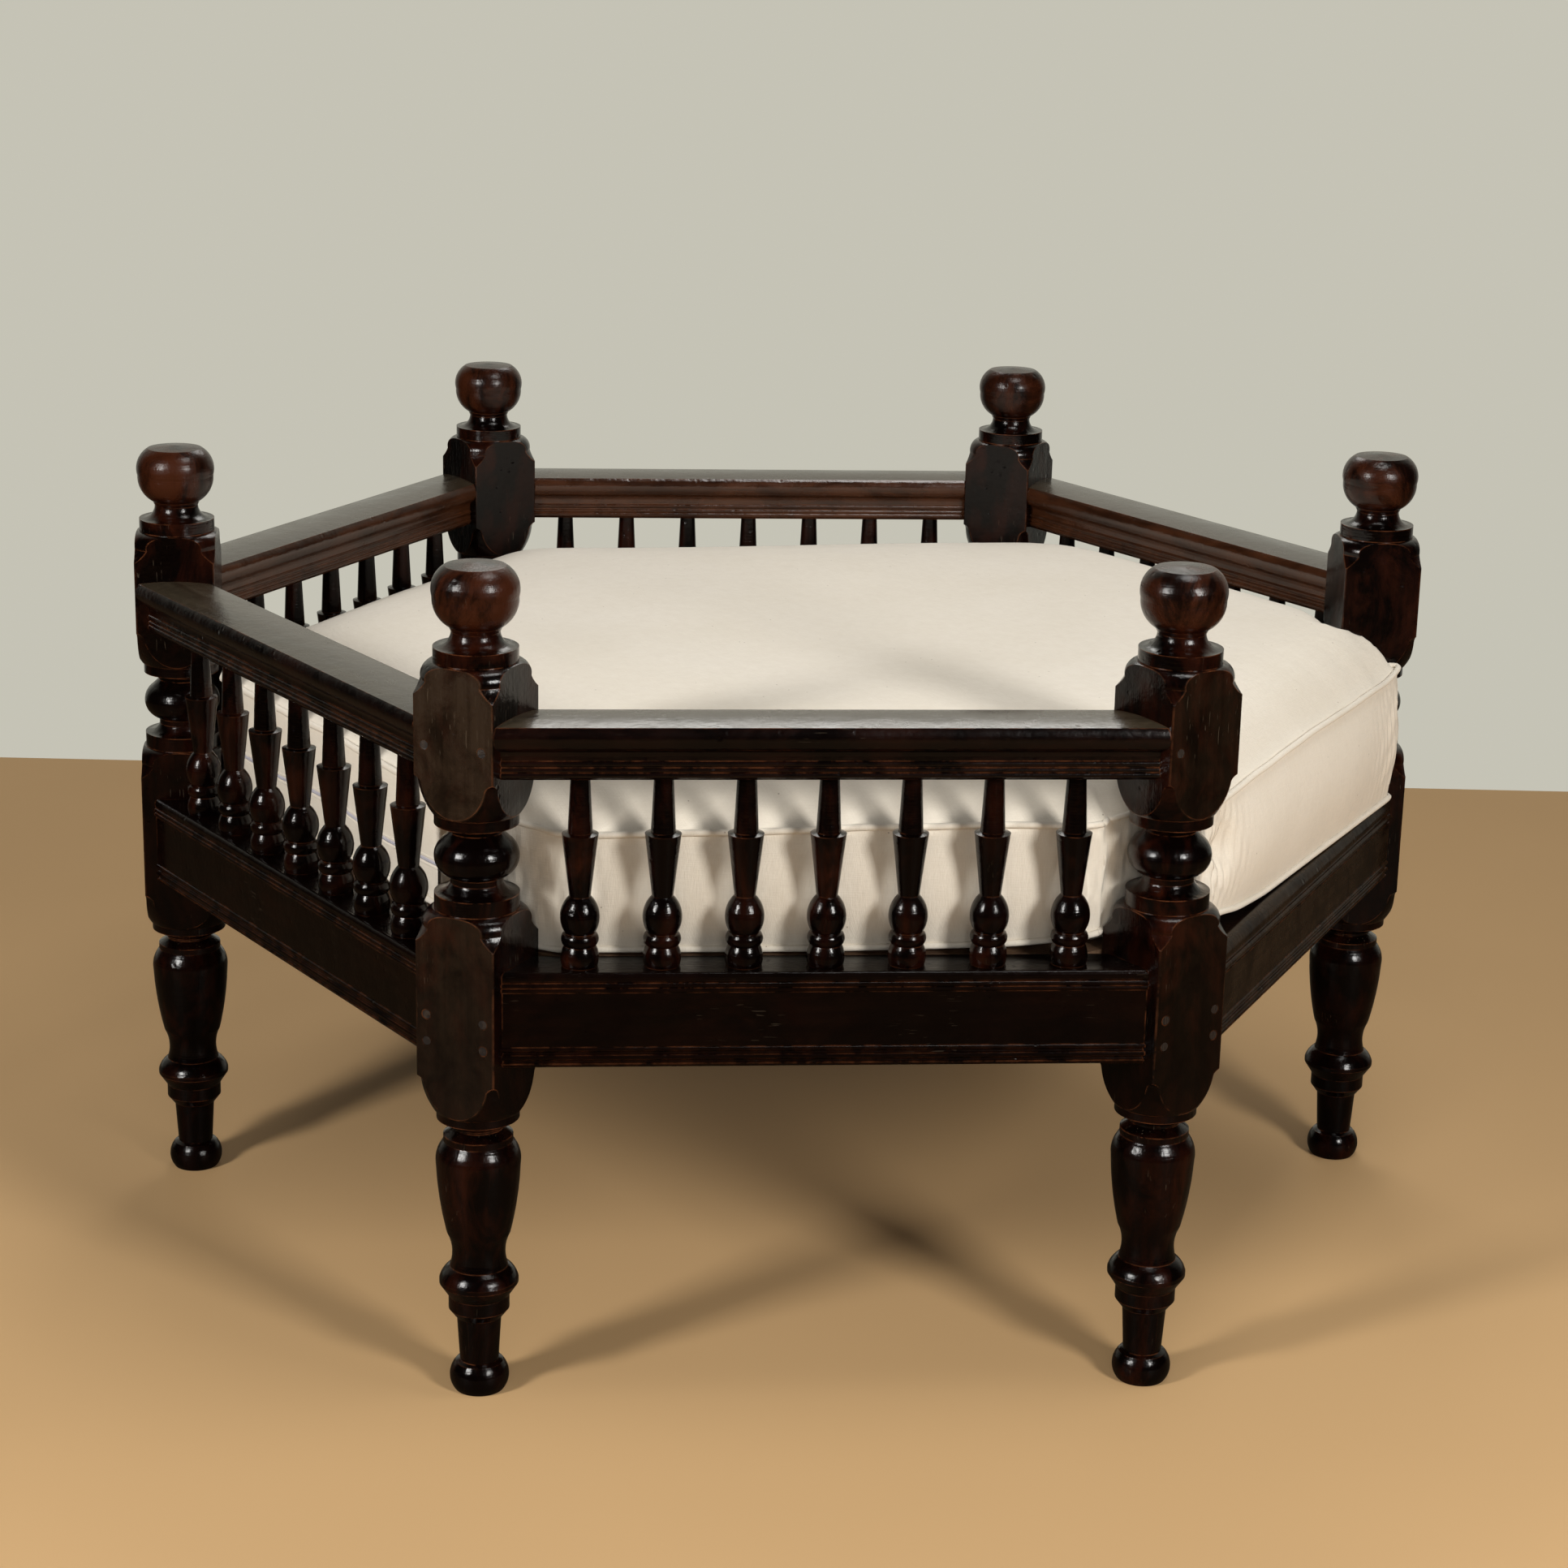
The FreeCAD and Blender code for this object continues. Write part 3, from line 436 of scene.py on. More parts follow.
LOWER_SEAM = {
    "front_left": ((-0.28, 0.0), (0.0, 0.0), (0.10, 0.002), (0.17, 0.004), (0.23, 0.010), (0.28, 0.018)),
    "front": ((-0.30, 0.018), (-0.21, 0.013), (-0.17, 0.005), (-0.10, 0.0), (0.30, 0.0)),
    "front_right": ((-0.28, 0.001), (0.0, 0.004), (0.28, 0.003)),
    "back_right": ((-0.28, 0.003), (-0.1, 0.0), (0.1, 0.001), (0.28, 0.003)),
    "back": ((-0.28, 0.003), (-0.1, 0.0), (0.1, 0.001), (0.28, 0.002)),
    "back_left": ((-0.28, 0.0), (0.05, 0.006), (0.28, 0.009)),
}
# How far in from each side the top panel has risen most of the way, and how deep the side's boxing bellies.
RISE = {"front": 0.036, "front_right": 0.020, "back_right": 0.100,
        "back": 0.085, "back_left": 0.075, "front_left": 0.070}
BELLY = {"front": 0.011, "front_right": 0.010, "back_right": 0.008,
         "back": 0.008, "back_left": 0.004, "front_left": 0.0095}
# The top panel's height in the middle and towards the right, the places between which it goes from one to the
# other, and how softly its sides run together.
TOP, RIGHT_TOP = 0.5865, 0.5940
RIGHT_RISE = (0.05, 0.42)
CROWN_BLEND = 0.0035


def outward(angle):
    """A level unit vector in a direction about the vertical."""
    return Vector((math.cos(angle), math.sin(angle), 0.0))


def raised(point, height):
    return point + Vector((0, 0, height))


def meeting(first, second):
    """Where two lines in plan cross, each given by the angle of its normal and its distance out."""
    (a, p), (b, q) = first, second
    spread = math.sin(b - a)
    across = (p * math.sin(b) - q * math.sin(a)) / spread
    up = (q * math.cos(a) - p * math.cos(b)) / spread
    return Vector((across, up, 0.0))


def smoothed(values, passes):
    """Values round a closed line, each drawn towards its neighbours."""
    for _ in range(passes):
        after = values[1:] + values[:1]
        values = [(values[n - 1] + values[n] * 2 + after[n]) / 4 for n in range(len(values))]
    return values


def seam_plan():
    """The cushion's outline in plan, its corners cut off square at the posts and softly rounded."""
    corners = []
    for side in SIDES:
        angle = side_angle(side)
        before, after = (angle - TURN / 2, POSTED), (angle + TURN / 2, POSTED)
        if side == "front":
            left, right = (before[0] + math.pi / 2, BESIDE), (after[0] - math.pi / 2, BESIDE)
            edge = (angle + OPEN_SLANT, OUTLINE[side])
            corners += [meeting(before, left), meeting(left, edge)]
            corners += [meeting(edge, right), meeting(right, after)]
        else:
            edge = (angle, OUTLINE[side])
            corners += [meeting(before, edge), meeting(edge, after)]
    points = []
    for start, end in zip(corners, corners[1:] + corners[:1]):
        steps = max(2, round((end - start).length / OUTLINE_STEP))
        points += [start.lerp(end, step / steps) for step in range(steps)]
    return smoothed(points, 5)


def facing_side(point):
    """The side that a point of the outline lies on, and how far along it, in metres from the middle."""
    turned = (math.atan2(point.y, point.x) - side_angle("front")) / TURN
    side = SIDES[round(turned) % len(SIDES)]
    return side, along_side(point, side)


def along_side(point, side):
    angle = side_angle(side)
    return -point.x * math.sin(angle) + point.y * math.cos(angle)


def out_towards(point, angle):
    """How far out from the middle a point lies in a direction about the vertical."""
    return point.x * math.cos(angle) + point.y * math.sin(angle)


def read_off(rows, along):
    """The height that rows of (distance, height) give for a place, straight between its rows."""
    if along <= rows[0][0]:
        return rows[0][1]
    for (low, first), (high, last) in zip(rows, rows[1:]):
        if along <= high:
            return first + (last - first) * (along - low) / (high - low)
    return rows[-1][1]


class Seams:
    """The two piped seams: one outline in plan, with its own height at each point above and below."""

    def __init__(self):
        self.plan = seam_plan()
        placed = [facing_side(point) for point in self.plan]
        self.side = [side for side, along in placed]
        self.along = [along for side, along in placed]
        ripples = [noise_at(Vector((point.x * 16, point.y * 16, 3.0))) * 0.0016 for point in self.plan]
        upper = smoothed([read_off(UPPER_SEAM[side], along) for side, along in placed], 6)
        lower = smoothed([read_off(LOWER_SEAM[side], along) for side, along in placed], 6)
        self.upper = [CUSHION_BASE + BOXING + height + ripple for height, ripple in zip(upper, ripples)]
        self.lower = [CUSHION_BASE + LOWER_SEAM_ABOVE_BASE + height for height in lower]
        self.out = []
        for before, after in zip(self.plan[-1:] + self.plan[:-1], self.plan[1:] + self.plan[:1]):
            run = after - before
            self.out.append(Vector((run.y, -run.x, 0.0)).normalized())
        self.tree = KDTree(len(self.plan))
        for n, point in enumerate(self.plan):
            self.tree.insert(point, n)
        self.tree.balance()

    def nearest(self, point):
        """The number of the nearest outline point in plan, and how far inside the outline the point lies."""
        flat = Vector((point.x, point.y, 0.0))
        where, n, _ = self.tree.find(flat)
        return n, (where - flat).dot(self.out[n])

    def path(self, heights, lift):
        """A seam's line, a little proud of the cover."""
        return [raised(p + o * SEAM_PROUD, h + lift) for p, o, h in zip(self.plan, self.out, heights)]


def half_length(side):
    """Half the length of a side's boxing between its posts, in metres."""
    return 0.262 if side == "front" else 0.27


def middle_share(side, along):
    """1 in the middle of a side, falling to 0 at its posts, where the cover is held in."""
    if side == "front" and along > 0:
        return max(0.0, 1.0 - 0.75 * (along / 0.275) ** 6)
    return max(0.0, 1.0 - (along / half_length(side)) ** 4)


def eased(value, low, high):
    share = min(max((value - low) / (high - low), 0.0), 1.0)
    return share * share * (3 - 2 * share)


def crown(point):
    """Height of the top panel: it rises from every side at its own pace and runs together in the middle."""
    right = out_towards(point, side_angle("front_right"))
    top = TOP + (RIGHT_TOP - TOP) * eased(right, *RIGHT_RISE)
    near = 0.0
    for side in SIDES:
        lean = side_angle(side) + (OPEN_SLANT if side == "front" else 0.0)
        inside = max(0.0, OUTLINE[side] - out_towards(point, lean))
        seam = CUSHION_BASE + BOXING + read_off(UPPER_SEAM[side], along_side(point, side))
        height = seam + (top - seam) * (1 - math.exp(-inside / RISE[side]))
        near += math.exp(-(height - top) / CROWN_BLEND)
    return top - CROWN_BLEND * math.log(near)


def boxing_point(seams, n, up):
    """A point of the boxing: up is 0 at the lower seam and 1 at the upper one, and it bellies out between."""
    push = BELLY[seams.side[n]] * math.sin(math.pi * up) * middle_share(seams.side[n], seams.along[n])
    height = seams.lower[n] + (seams.upper[n] - seams.lower[n]) * up
    return raised(seams.plan[n] + seams.out[n] * push, height)


def top_point(seams, n, inward):
    """A point of the top panel, inward from the seam as a share of the way to the middle."""
    flat = seams.plan[n] * (1 - inward)
    seam = seams.upper[n]
    share = 1 - math.exp(-inward * seams.plan[n].length / 0.007)
    return raised(flat, seam + (max(crown(flat), seam) - seam) * share)


def under_point(seams, n, inward):
    return raised(seams.plan[n] * (1 - inward), CUSHION_BASE)


def tuck_point(seams, n):
    """A point between the flat underside and the lower seam."""
    return raised(seams.plan[n] * 0.982, CUSHION_BASE + (seams.lower[n] - CUSHION_BASE - 0.004) * 0.7)


UNDER_SHARES = (0.75, 0.5, 0.3, 0.15, 0.08, 0.04)
TOP_SHARES = (0.008, 0.016, 0.028, 0.045, 0.065, 0.09, 0.12, 0.16, 0.21,
              0.27, 0.34, 0.42, 0.51, 0.61, 0.72, 0.84, 0.94)
BOXING_ROWS = 14
REMESH_SIZE = 0.0065


def cut_cover(seams):
    """The cover before it is filled: rings from under its middle, up the boxing and over the top."""
    count = range(len(seams.plan))
    rings = [[under_point(seams, n, inward) for n in count] for inward in UNDER_SHARES]
    rings.append([tuck_point(seams, n) for n in count])
    rings += [[boxing_point(seams, n, row / BOXING_ROWS) for n in count] for row in range(BOXING_ROWS + 1)]
    rings += [[top_point(seams, n, inward) for n in count] for inward in TOP_SHARES]
    around = len(seams.plan)
    points = [tuple(point) for ring in rings for point in ring]
    faces = []
    for row in range(len(rings) - 1):
        for n in count:
            m = (n + 1) % around
            faces.append((row * around + n, row * around + m, (row + 1) * around + m, (row + 1) * around + n))
    points += [(0.0, 0.0, CUSHION_BASE), (0.0, 0.0, crown(Vector((0, 0, 0))))]
    bottom, top, last = len(points) - 2, len(points) - 1, (len(rings) - 1) * around
    for n in count:
        m = (n + 1) % around
        faces.append((bottom, m, n))
        faces.append((top, last + n, last + m))
    data = bpy.data.meshes.new("cushion_cover")
    data.from_pydata(points, [], faces)
    cover = bpy.data.objects.new("cushion_cover", data)
    bpy.context.scene.collection.objects.link(cover)
    select_only(cover)
    data.remesh_voxel_size = REMESH_SIZE
    bpy.ops.object.voxel_remesh()
    return cover


def select_only(piece):
    bpy.ops.object.select_all(action="DESELECT")
    piece.select_set(True)
    bpy.context.view_layer.objects.active = piece


def apply_all(piece):
    select_only(piece)
    for modifier in list(piece.modifiers):
        bpy.ops.object.modifier_apply(modifier=modifier.name)


def finish_with(piece, material):
    piece.data.materials.clear()
    piece.data.materials.append(material)


def lies_with_cushion(piece):
    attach(piece, "cushion")


def hold_seams(cover, seams):
    """Bring the nearest points onto the seams, and hold those and the underside while the cover fills."""
    held = []
    for vertex in cover.data.vertices:
        n, inside = seams.nearest(vertex.co)
        for height in (seams.upper[n], seams.lower[n]):
            if abs(inside) < REMESH_SIZE and abs(vertex.co.z - height) < REMESH_SIZE:
                vertex.co = raised(seams.plan[n], height)
                held.append(vertex.index)
        if vertex.co.z < CUSHION_BASE + 0.003:
            held.append(vertex.index)
    cover.vertex_groups.new(name="held").add(held, 1.0, "REPLACE")


FILLING_STEPS = 20
FARTHEST_FILL = 0.022


def fill_cover(cover):
    """Blow the cover up a little with cloth simulation, so it pulls and puckers at its seams."""
    before = [vertex.co.copy() for vertex in cover.data.vertices]
    cloth = cover.modifiers.new("filling", "CLOTH")
    settings = cloth.settings
    settings.quality = 4
    settings.mass = 0.3
    settings.tension_stiffness = settings.compression_stiffness = 12.0
    settings.shear_stiffness = 6.0
    settings.bending_stiffness = 0.6
    settings.use_pressure = True
    settings.uniform_pressure_force = 3.0
    settings.shrink_min = -0.014
    settings.vertex_group_mass = "held"
    settings.effector_weights.gravity = 0.0
    cloth.point_cache.frame_start, cloth.point_cache.frame_end = 1, FILLING_STEPS
    for step in range(1, FILLING_STEPS + 1):
        bpy.context.scene.frame_set(step)
    apply_all(cover)
    bpy.context.scene.frame_set(1)
    for vertex, start in zip(cover.data.vertices, before):
        move = vertex.co - start
        if move.length > FARTHEST_FILL:
            vertex.co = start + move * (FARTHEST_FILL / move.length)


# The pinch folds at the posts: how deep they are, how far they reach along the side, how close they lie and
# how far they lean over the boxing's height. Those at the front's left end are the deep ones.
FOLD_DEPTH, FOLD_REACH, FOLD_PITCH, FOLD_LEAN = 0.0014, 0.055, 0.0135, 0.022
DEEP_FOLDS, PLAIN_FOLDS = 2.9, 1.1
# The dent in the front boxing: its place along and up the side, its width, its height and its depth.
DENT_ALONG, DENT_UP, DENT_WIDE, DENT_HIGH, DENT_DEEP = -0.220, 0.58, 0.020, 0.20, 0.013


def settle(point, seams):
    """Folds that the cover keeps where it is pinched at the posts, its dent and its ripples."""
    n, inside = seams.nearest(point)
    side, along, out = seams.side[n], seams.along[n], seams.out[n]
    up = (point.z - seams.lower[n]) / (seams.upper[n] - seams.lower[n])
    moved = point.copy()
    if 0.02 < up < 0.98 and inside < 0.03:
        swing = math.sin(math.pi * up)
        end_gap = half_length(side) - abs(along)
        near_post = math.exp(-(max(end_gap, 0.0) / FOLD_REACH) ** 2)
        depth = DEEP_FOLDS if side == "front" and along < 0 else PLAIN_FOLDS
        lean = along + (up - 0.5) * math.copysign(FOLD_LEAN, along)
        moved += out * (FOLD_DEPTH * depth * near_post * swing * math.sin(lean * 2 * math.pi / FOLD_PITCH))
        soft = noise_at(Vector((point.x * 11, point.y * 11, point.z * 5)))
        moved += out * (0.0025 * soft * swing)
        if side == "front":
            dent = math.exp(-((along - DENT_ALONG) / DENT_WIDE) ** 2 - ((up - DENT_UP) / DENT_HIGH) ** 2)
            moved -= out * DENT_DEEP * dent
    if up >= 0.9:
        ripple = noise_at(Vector((seams.plan[n].x * 34, seams.plan[n].y * 34, 7.0)))
        moved.z += 0.0016 * ripple * math.exp(-max(inside, 0.0) / 0.035)
        broad = noise_at(Vector((point.x * 5.0, point.y * 5.0, 11.0)))
        moved.z += 0.0022 * broad * (1 - math.exp(-max(inside, 0.0) / 0.06))
    return moved


# How far out a point may lie on the open side, at a top rail's height, and below that beside the spindles.
OPEN_LIMIT, TOP_RAIL_LIMIT, SPINDLE_LIMIT = 0.5725, 0.4996, 0.5152
TOP_RAIL_BEGINS = 0.566
# The gaps that the cover and the piping's middle keep from a post's inner face and from its sides.
COVER_GAPS = (0.0004, 0.0027)
PIPING_GAPS = (0.0033, 0.0034)
# How much further in a point stays at an open post's upright edge, and how far from its middle that begins.
EDGE_GAP, EDGE_BEGINS = 0.0040, 0.026


def clear_of_wood(point, gaps=COVER_GAPS):
    """Keep a point off the boards, rails and posts round it."""
    point.z = max(point.z, CUSHION_BASE + 0.0002)
    face_gap, side_gap = gaps
    for side in SIDES:
        normal = outward(side_angle(side))
        limit = TOP_RAIL_LIMIT if point.z > TOP_RAIL_BEGINS else SPINDLE_LIMIT
        if side == "front":
            limit = OPEN_LIMIT
        over = point.dot(normal) - limit
        if over > 0:
            point -= normal * over
    for post in POSTS:
        angle = post_angle(post)
        normal, across = outward(angle), outward(angle + math.pi / 2)
        aside = point.dot(across)
        beside = POST_HALF + side_gap - abs(aside)
        stands_open = post in OPEN_POSTS
        edge = EDGE_GAP * eased(abs(aside), EDGE_BEGINS, POST_HALF) if stands_open else 0.0
        over = point.dot(normal) - (POST_FACE - face_gap - edge)
        if over > 0:
            if stands_open and 0 < beside < over:
                point += across * math.copysign(beside, aside)
            elif beside > 0 or not stands_open:
                point -= normal * over
    return point


def piping_path(seams, heights, lift):
    """The line of a piping's middle: a little proud of its seam, and pressed in where a post stands."""
    points = seams.path(heights, lift)
    finer = [a.lerp(b, step / 3) for a, b in zip(points, points[1:] + points[:1]) for step in range(3)]
    return [clear_of_wood(point, PIPING_GAPS) for point in finer]


PALE_CANVAS, WARM_CANVAS = (0.725, 0.660, 0.556), (0.757, 0.694, 0.596)
THREAD_GAP = (0.50, 0.41, 0.30)
SEED_FLECK = (0.20, 0.14, 0.09)


def cushion_canvas():
    """Undyed cotton canvas: crossed threads with slubs, a soft mottle and tiny dark seed flecks."""
    material, tree, shader = start_material("cushion_canvas")
    space = object_space(tree)
    turned = put(tree, "Mapping", {"Vector": space, "Rotation": (0.0, 0.0, TURN / 2)}).outputs["Vector"]
    fine, slub = 1300.0, 90.0
    threads = total(tree, noise(tree, stretch(tree, turned, (fine, slub, slub)), 1.0, 2.0, 0.5),
                    noise(tree, stretch(tree, turned, (slub, fine, slub)), 1.0, 2.0, 0.5),
                    noise(tree, stretch(tree, turned, (slub, slub, fine)), 1.0, 2.0, 0.5))
    mottle = noise(tree, space, 7.0, 3.0)
    colour = blend(tree, span(tree, mottle, 0.3, 0.7), PALE_CANVAS, WARM_CANVAS)
    colour = blend(tree, span(tree, threads, 1.15, 1.85, 0.16, 0.0), colour, THREAD_GAP)
    flecks = put(tree, "TexVoronoi", {"Vector": space, "Scale": 95.0, "Randomness": 1.0})
    chance = put(tree, "SeparateColor", {"Color": flecks.outputs["Color"]}).outputs[0]
    small = maths(tree, "LESS_THAN", flecks.outputs["Distance"], 0.075)
    few = maths(tree, "GREATER_THAN", chance, 0.86)
    colour = blend(tree, product(tree, small, few, 0.55), colour, SEED_FLECK)
    tree.links.new(colour, shader.inputs["Base Color"])
    surface = bump(tree, noise(tree, space, 60.0, 3.0), 0.0006, bump(tree, threads, 0.00022))
    tree.links.new(surface, shader.inputs["Normal"])
    shader.inputs["Roughness"].default_value = 0.88
    shader.inputs["Specular IOR Level"].default_value = 0.25
    shader.inputs["Sheen Weight"].default_value = 0.12
    shader.inputs["Sheen Roughness"].default_value = 0.5
    return material


def round_cord(name, points, radius, closed):
    """A round cord along a row of points, as a closed mesh."""
    data = bpy.data.curves.new(name, "CURVE")
    data.dimensions = "3D"
    data.bevel_depth = radius
    data.bevel_resolution = 3
    data.use_fill_caps = not closed
    line = data.splines.new("POLY")
    line.points.add(len(points) - 1)
    for spot, point in zip(line.points, points):
        spot.co = (*point, 1.0)
    line.use_cyclic_u = closed
    piece = bpy.data.objects.new(name, data)
    bpy.context.scene.collection.objects.link(piece)
    select_only(piece)
    bpy.ops.object.convert(target="MESH")
    piece = bpy.context.object
    bpy.ops.object.shade_smooth()
    return piece


# Zip

ZIP_SIDE = "back_left"
# The zip's line along its side: (distance along the side, height), in metres.
ZIP_LINE = ((-0.225, 0.455), (-0.12, 0.454), (-0.066, 0.458), (0.005, 0.457), (0.075, 0.451), (0.103, 0.450),
            (0.205, 0.452))
ZIP_STEPS = 108
RAYS_START = 0.60
# The laps' distance above and below the zip's line, how far they stand out of the cloth, and their radius.
LAP_LIFT, LAP_PUSH, LAP_RADIUS = 0.0037, -0.0004, 0.0015
SLIDER_FROM_END = 3


def zip_path(cover, lift, push):
    """Points along the zip, raised by lift from its line and pushed out of the cloth they are found on."""
    angle = side_angle(ZIP_SIDE)
    normal, run = outward(angle), outward(angle + math.pi / 2)
    start, end = ZIP_LINE[0][0], ZIP_LINE[-1][0]
    rows = []
    for step in range(ZIP_STEPS + 1):
        along = start + (end - start) * step / ZIP_STEPS
        height = read_off(ZIP_LINE, along) + lift
        found, place = cover.ray_cast(raised(normal * RAYS_START + run * along, height), -normal)[:2]
        rows.append((along, height, place.dot(normal) if found else OUTLINE[ZIP_SIDE]))
    for _ in range(4):
        threes = zip(rows, rows[1:], rows[2:])
        inner = [tuple((a + 2 * b + c) / 4 for a, b, c in zip(*three)) for three in threes]
        rows = rows[:1] + inner + rows[-1:]
    return [raised(normal * (out + push) + run * along, height) for along, height, out in rows]


def zip_cloth(name, light, dark, pitch):
    """The zip's tape or teeth: pale, a little blue, ribbed across its length."""
    material, tree, shader = start_material(name)
    space = piece_space(tree, side_angle(ZIP_SIDE), 0.0)
    ribs = wave(tree, space, pitch, 0.0, 2.0, "Y")
    ribbed = product(tree, ribs, noise(tree, space, 900.0, 2.0))
    tree.links.new(blend(tree, ribbed, dark, light), shader.inputs["Base Color"])
    tree.links.new(bump(tree, ribs, 0.0003), shader.inputs["Normal"])
    shader.inputs["Roughness"].default_value = 0.55
    return material


def brushed_nickel():
    material, tree, shader = start_material("zip_nickel")
    brushed = noise(tree, stretch(tree, object_space(tree), (300.0, 300.0, 2500.0)), 1.0, 2.0)
    tree.links.new(blend(tree, brushed, (0.42, 0.40, 0.37), (0.60, 0.58, 0.55)), shader.inputs["Base Color"])
    tree.links.new(span(tree, brushed, 0.3, 0.7, 0.24, 0.42), shader.inputs["Roughness"])
    shader.inputs["Metallic"].default_value = 1.0
    return material


def small_block(name, size, centre, turn, round_off):
    """A small block with rounded edges: size is out of the cloth, along the zip and upward."""
    bpy.ops.object.select_all(action="DESELECT")
    bpy.ops.mesh.primitive_cube_add(size=1.0)
    piece = bpy.context.object
    piece.name = name
    piece.scale = size
    bpy.ops.object.transform_apply(location=False, rotation=False, scale=True)
    edge = piece.modifiers.new("edge", "BEVEL")
    edge.width, edge.segments, edge.limit_method = round_off, 3, "NONE"
    apply_all(piece)
    bpy.ops.object.shade_smooth()
    piece.data.transform(Matrix.Translation(centre) @ Matrix.Rotation(turn, 4, "Z"))
    return piece


def make_zip(cover, cloth):
    """The zip let into the boxing: tape and teeth between two laps of the cover, its slider near the end."""
    angle = side_angle(ZIP_SIDE)
    slid_to, out = zip_path(cover, 0.0, 0.0)[-SLIDER_FROM_END], outward(angle)
    tape = round_cord("zip_tape", zip_path(cover, 0.0, -0.0013), 0.0023, False)
    teeth = round_cord("zip_teeth", zip_path(cover, 0.0, 0.0007), 0.0008, False)
    upper_lap = round_cord("zip_lap_upper", zip_path(cover, LAP_LIFT, LAP_PUSH), LAP_RADIUS, False)
    lower_lap = round_cord("zip_lap_lower", zip_path(cover, -LAP_LIFT, LAP_PUSH), LAP_RADIUS, False)
    slider = small_block("zip_slider", (0.0030, 0.0100, 0.0075), slid_to + out * 0.0016, angle, 0.0010)
    hangs_at = raised(slid_to + out * 0.0034, -0.0085)
    pull = small_block("zip_pull", (0.0012, 0.0050, 0.0200), hangs_at, angle, 0.0005)
    finish_with(tape, zip_cloth("zip_tape_weave", (0.66, 0.64, 0.70), (0.42, 0.40, 0.46), 110.0))
    finish_with(teeth, zip_cloth("zip_nylon_teeth", (0.74, 0.73, 0.78), (0.34, 0.33, 0.38), 157.0))
    nickel = brushed_nickel()
    for piece, material in ((upper_lap, cloth), (lower_lap, cloth), (slider, nickel), (pull, nickel)):
        finish_with(piece, material)
    for piece in (tape, teeth, upper_lap, lower_lap, slider, pull):
        lies_with_cushion(piece)


def make_cushion():
    seams = Seams()
    cover = cut_cover(seams)
    hold_seams(cover, seams)
    fill_cover(cover)
    refine = cover.modifiers.new("refine", "SUBSURF")
    refine.levels = refine.render_levels = 1
    apply_all(cover)
    for vertex in cover.data.vertices:
        vertex.co = clear_of_wood(settle(vertex.co, seams))
    bpy.ops.object.shade_smooth()
    cloth = cushion_canvas()
    upper = round_cord("piping_upper", piping_path(seams, seams.upper, 0.0004), PIPING, True)
    lower = round_cord("piping_lower", piping_path(seams, seams.lower, 0.0), PIPING, True)
    for piece in (cover, upper, lower):
        finish_with(piece, cloth)
        lies_with_cushion(piece)
    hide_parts("cushion")
    make_zip(cover, cloth)


# Stage, light and camera

CAMERA_YAW = math.radians(25.361)
CAMERA_PITCH = math.radians(16.286)
CAMERA_ROLL = math.radians(1.2555)
CAMERA_PLACE = Vector((-2.90498, -1.38186, 1.34597))
LENS = 76.19
SENSOR = 36.0
FLOOR_COLOUR = (0.57, 0.365, 0.178)
MIRRORED_FLOOR = (0.03, 0.02, 0.012)
WALL_COLOUR = (0.56, 0.545, 0.465)
LAMP_COLOUR = (1.0, 0.985, 0.955)
# How far the floor reaches behind the bench, in front of it and to each side.
FLOOR_FAR, FLOOR_NEAR, FLOOR_WIDE = 1.44, -7.0, 7.0
BENCH_MIDDLE = (0.0, 0.0, 0.45)
EYE_LEVEL_MIDDLE = (0.0, 0.0, 1.60)


def set_camera():
    data = bpy.data.cameras.new("camera")
    data.lens = LENS
    data.sensor_width = SENSOR
    data.sensor_fit = "HORIZONTAL"
    camera = bpy.data.objects.new("camera", data)
    bpy.context.scene.collection.objects.link(camera)
    turn = Matrix.Rotation(CAMERA_YAW - math.pi / 2, 4, "Z")
    tilt = Matrix.Rotation(math.pi / 2 - CAMERA_PITCH, 4, "X")
    roll = Matrix.Rotation(CAMERA_ROLL, 4, "Z")
    camera.matrix_world = Matrix.Translation(CAMERA_PLACE) @ (turn @ tilt) @ roll
    bpy.context.scene.camera = camera


def soft_box(name, place, facing, width, height, power):
    """A soft lamp at a place, turned to face a point."""
    data = bpy.data.lights.new(name, "AREA")
    data.shape = "RECTANGLE"
    data.size = width
    data.size_y = height
    data.energy = power
    data.color = LAMP_COLOUR
    lamp = bpy.data.objects.new(name, data)
    bpy.context.scene.collection.objects.link(lamp)
    lamp.location = place
    lamp.rotation_euler = (Vector(place) - Vector(facing)).to_track_quat("Z", "Y").to_euler()
    return lamp


def pale_floor():
    """A plain matt floor: dim in reflections, and lit by a painted glow, seen only by the eye, that grows
    paler further away.
    """
    material, tree, shader = start_material("pale_floor")
    space = piece_space(tree, CAMERA_YAW, 0.0)
    drift = span(tree, noise(tree, space, 1.4, 2.0), 0.3, 0.7)
    colour = blend(tree, drift, FLOOR_COLOUR, tuple(c * 1.06 for c in FLOOR_COLOUR))
    path = put(tree, "LightPath", {}).outputs
    mirrored = product(tree, path["Is Glossy Ray"], 0.88)
    # Painted light: the floor glows for camera rays, more the further it lies from the bench's middle
    painted_glow = product(tree, path["Is Camera Ray"], span(tree, length_of(tree, space), 0.95, 4.2, 0.0, 0.40))
    tree.links.new(blend(tree, mirrored, colour, MIRRORED_FLOOR), shader.inputs["Base Color"])
    tree.links.new(colour, shader.inputs["Emission Color"])
    tree.links.new(painted_glow, shader.inputs["Emission Strength"])
    shader.inputs["Roughness"].default_value = 0.60
    shader.inputs["Specular IOR Level"].default_value = 0.12
    return material


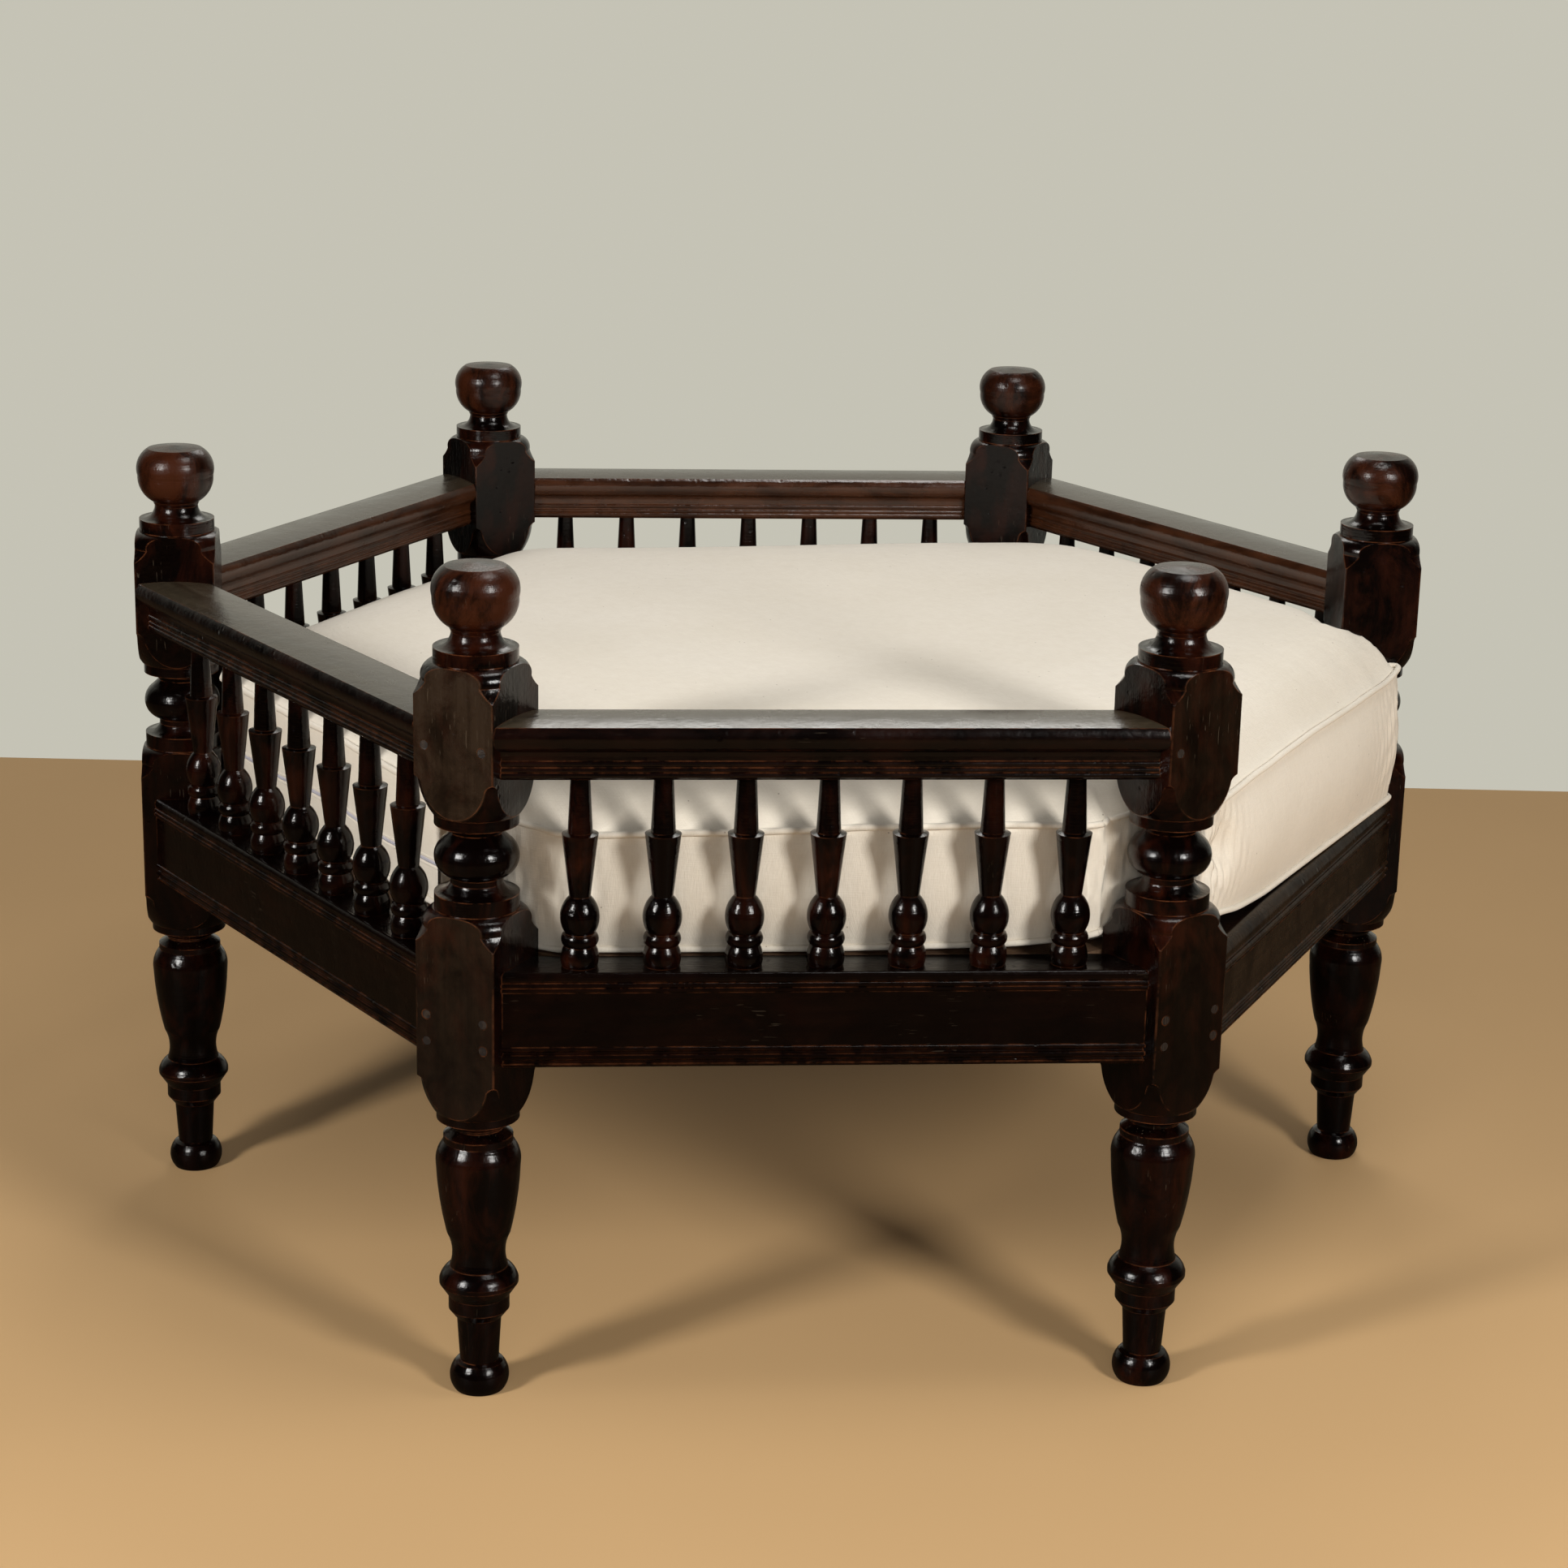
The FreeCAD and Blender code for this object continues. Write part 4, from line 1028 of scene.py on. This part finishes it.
def set_floor():
    """A plain pale floor that ends where the photographed wall starts."""
    bpy.ops.object.select_all(action="DESELECT")
    bpy.ops.mesh.primitive_plane_add(size=1.0, location=(0.0, 0.0, 0.0))
    floor = bpy.context.object
    floor.name = "floor"
    back, across = outward(CAMERA_YAW), outward(CAMERA_YAW + math.pi / 2)
    corners = [(out, side) for out in (FLOOR_NEAR, FLOOR_FAR) for side in (-FLOOR_WIDE, FLOOR_WIDE)]
    for vertex, (out, side) in zip(floor.data.vertices, corners):
        vertex.co = back * out + across * side
    floor.data.materials.append(pale_floor())


def set_world():
    """A plain pale surround: the wall's colour to the eye and in reflections, and even soft light."""
    world = bpy.data.worlds.new("studio")
    world.use_nodes = True
    tree = world.node_tree
    tree.nodes.clear()
    output = tree.nodes.new("ShaderNodeOutputWorld")
    path = put(tree, "LightPath", {}).outputs
    direction = put(tree, "TexCoord", {}).outputs["Generated"]
    behind = along_direction(tree, direction, (math.cos(CAMERA_YAW), math.sin(CAMERA_YAW), 0.25))
    bounced = span(tree, behind, -0.2, 0.5, 0.008, 0.045)
    depth = span(tree, behind, 0.45, 0.95, 0.02, 1.0)
    seen = put(tree, "Background", {"Color": (*WALL_COLOUR, 1.0), "Strength": 1.0}).outputs[0]
    light = put(tree, "Background", {"Color": (*LAMP_COLOUR, 1.0), "Strength": bounced}).outputs[0]
    mirrored = put(tree, "Background", {"Color": (*WALL_COLOUR, 1.0), "Strength": depth}).outputs[0]
    gloss = put(tree, "MixShader", {0: path["Is Glossy Ray"], 1: light, 2: mirrored}).outputs[0]
    final = put(tree, "MixShader", {0: path["Is Camera Ray"], 1: gloss, 2: seen}).outputs[0]
    tree.links.new(final, output.inputs["Surface"])
    bpy.context.scene.world = world


def set_lamps():
    soft_box("right_lamp", (-1.45, -2.51, 1.60), EYE_LEVEL_MIDDLE, 0.50, 1.0, 63.0)
    soft_box("left_lamp", (-2.60, 0.84, 1.60), EYE_LEVEL_MIDDLE, 0.40, 1.0, 59.0)
    soft_box("ceiling_lamp", (-0.30, -0.75, 2.60), (-0.30, -0.75, 0.0), 0.75, 0.75, 16.0)
    front_fill = soft_box("front_fill", (-2.85, -1.45, 1.25), BENCH_MIDDLE, 1.6, 1.2, 16.0)
    front_fill.visible_glossy = False
    soft_box("back_lamp", (1.50, 0.60, 2.30), BENCH_MIDDLE, 1.2, 0.9, 17.0)


def set_stage():
    set_floor()
    set_world()
    set_lamps()
    bpy.context.scene.view_settings.view_transform = "Standard"


set_camera()
set_stage()
finish_posts()
finish_rails()
finish_spindles()
finish_hidden_wood()
make_cushion()
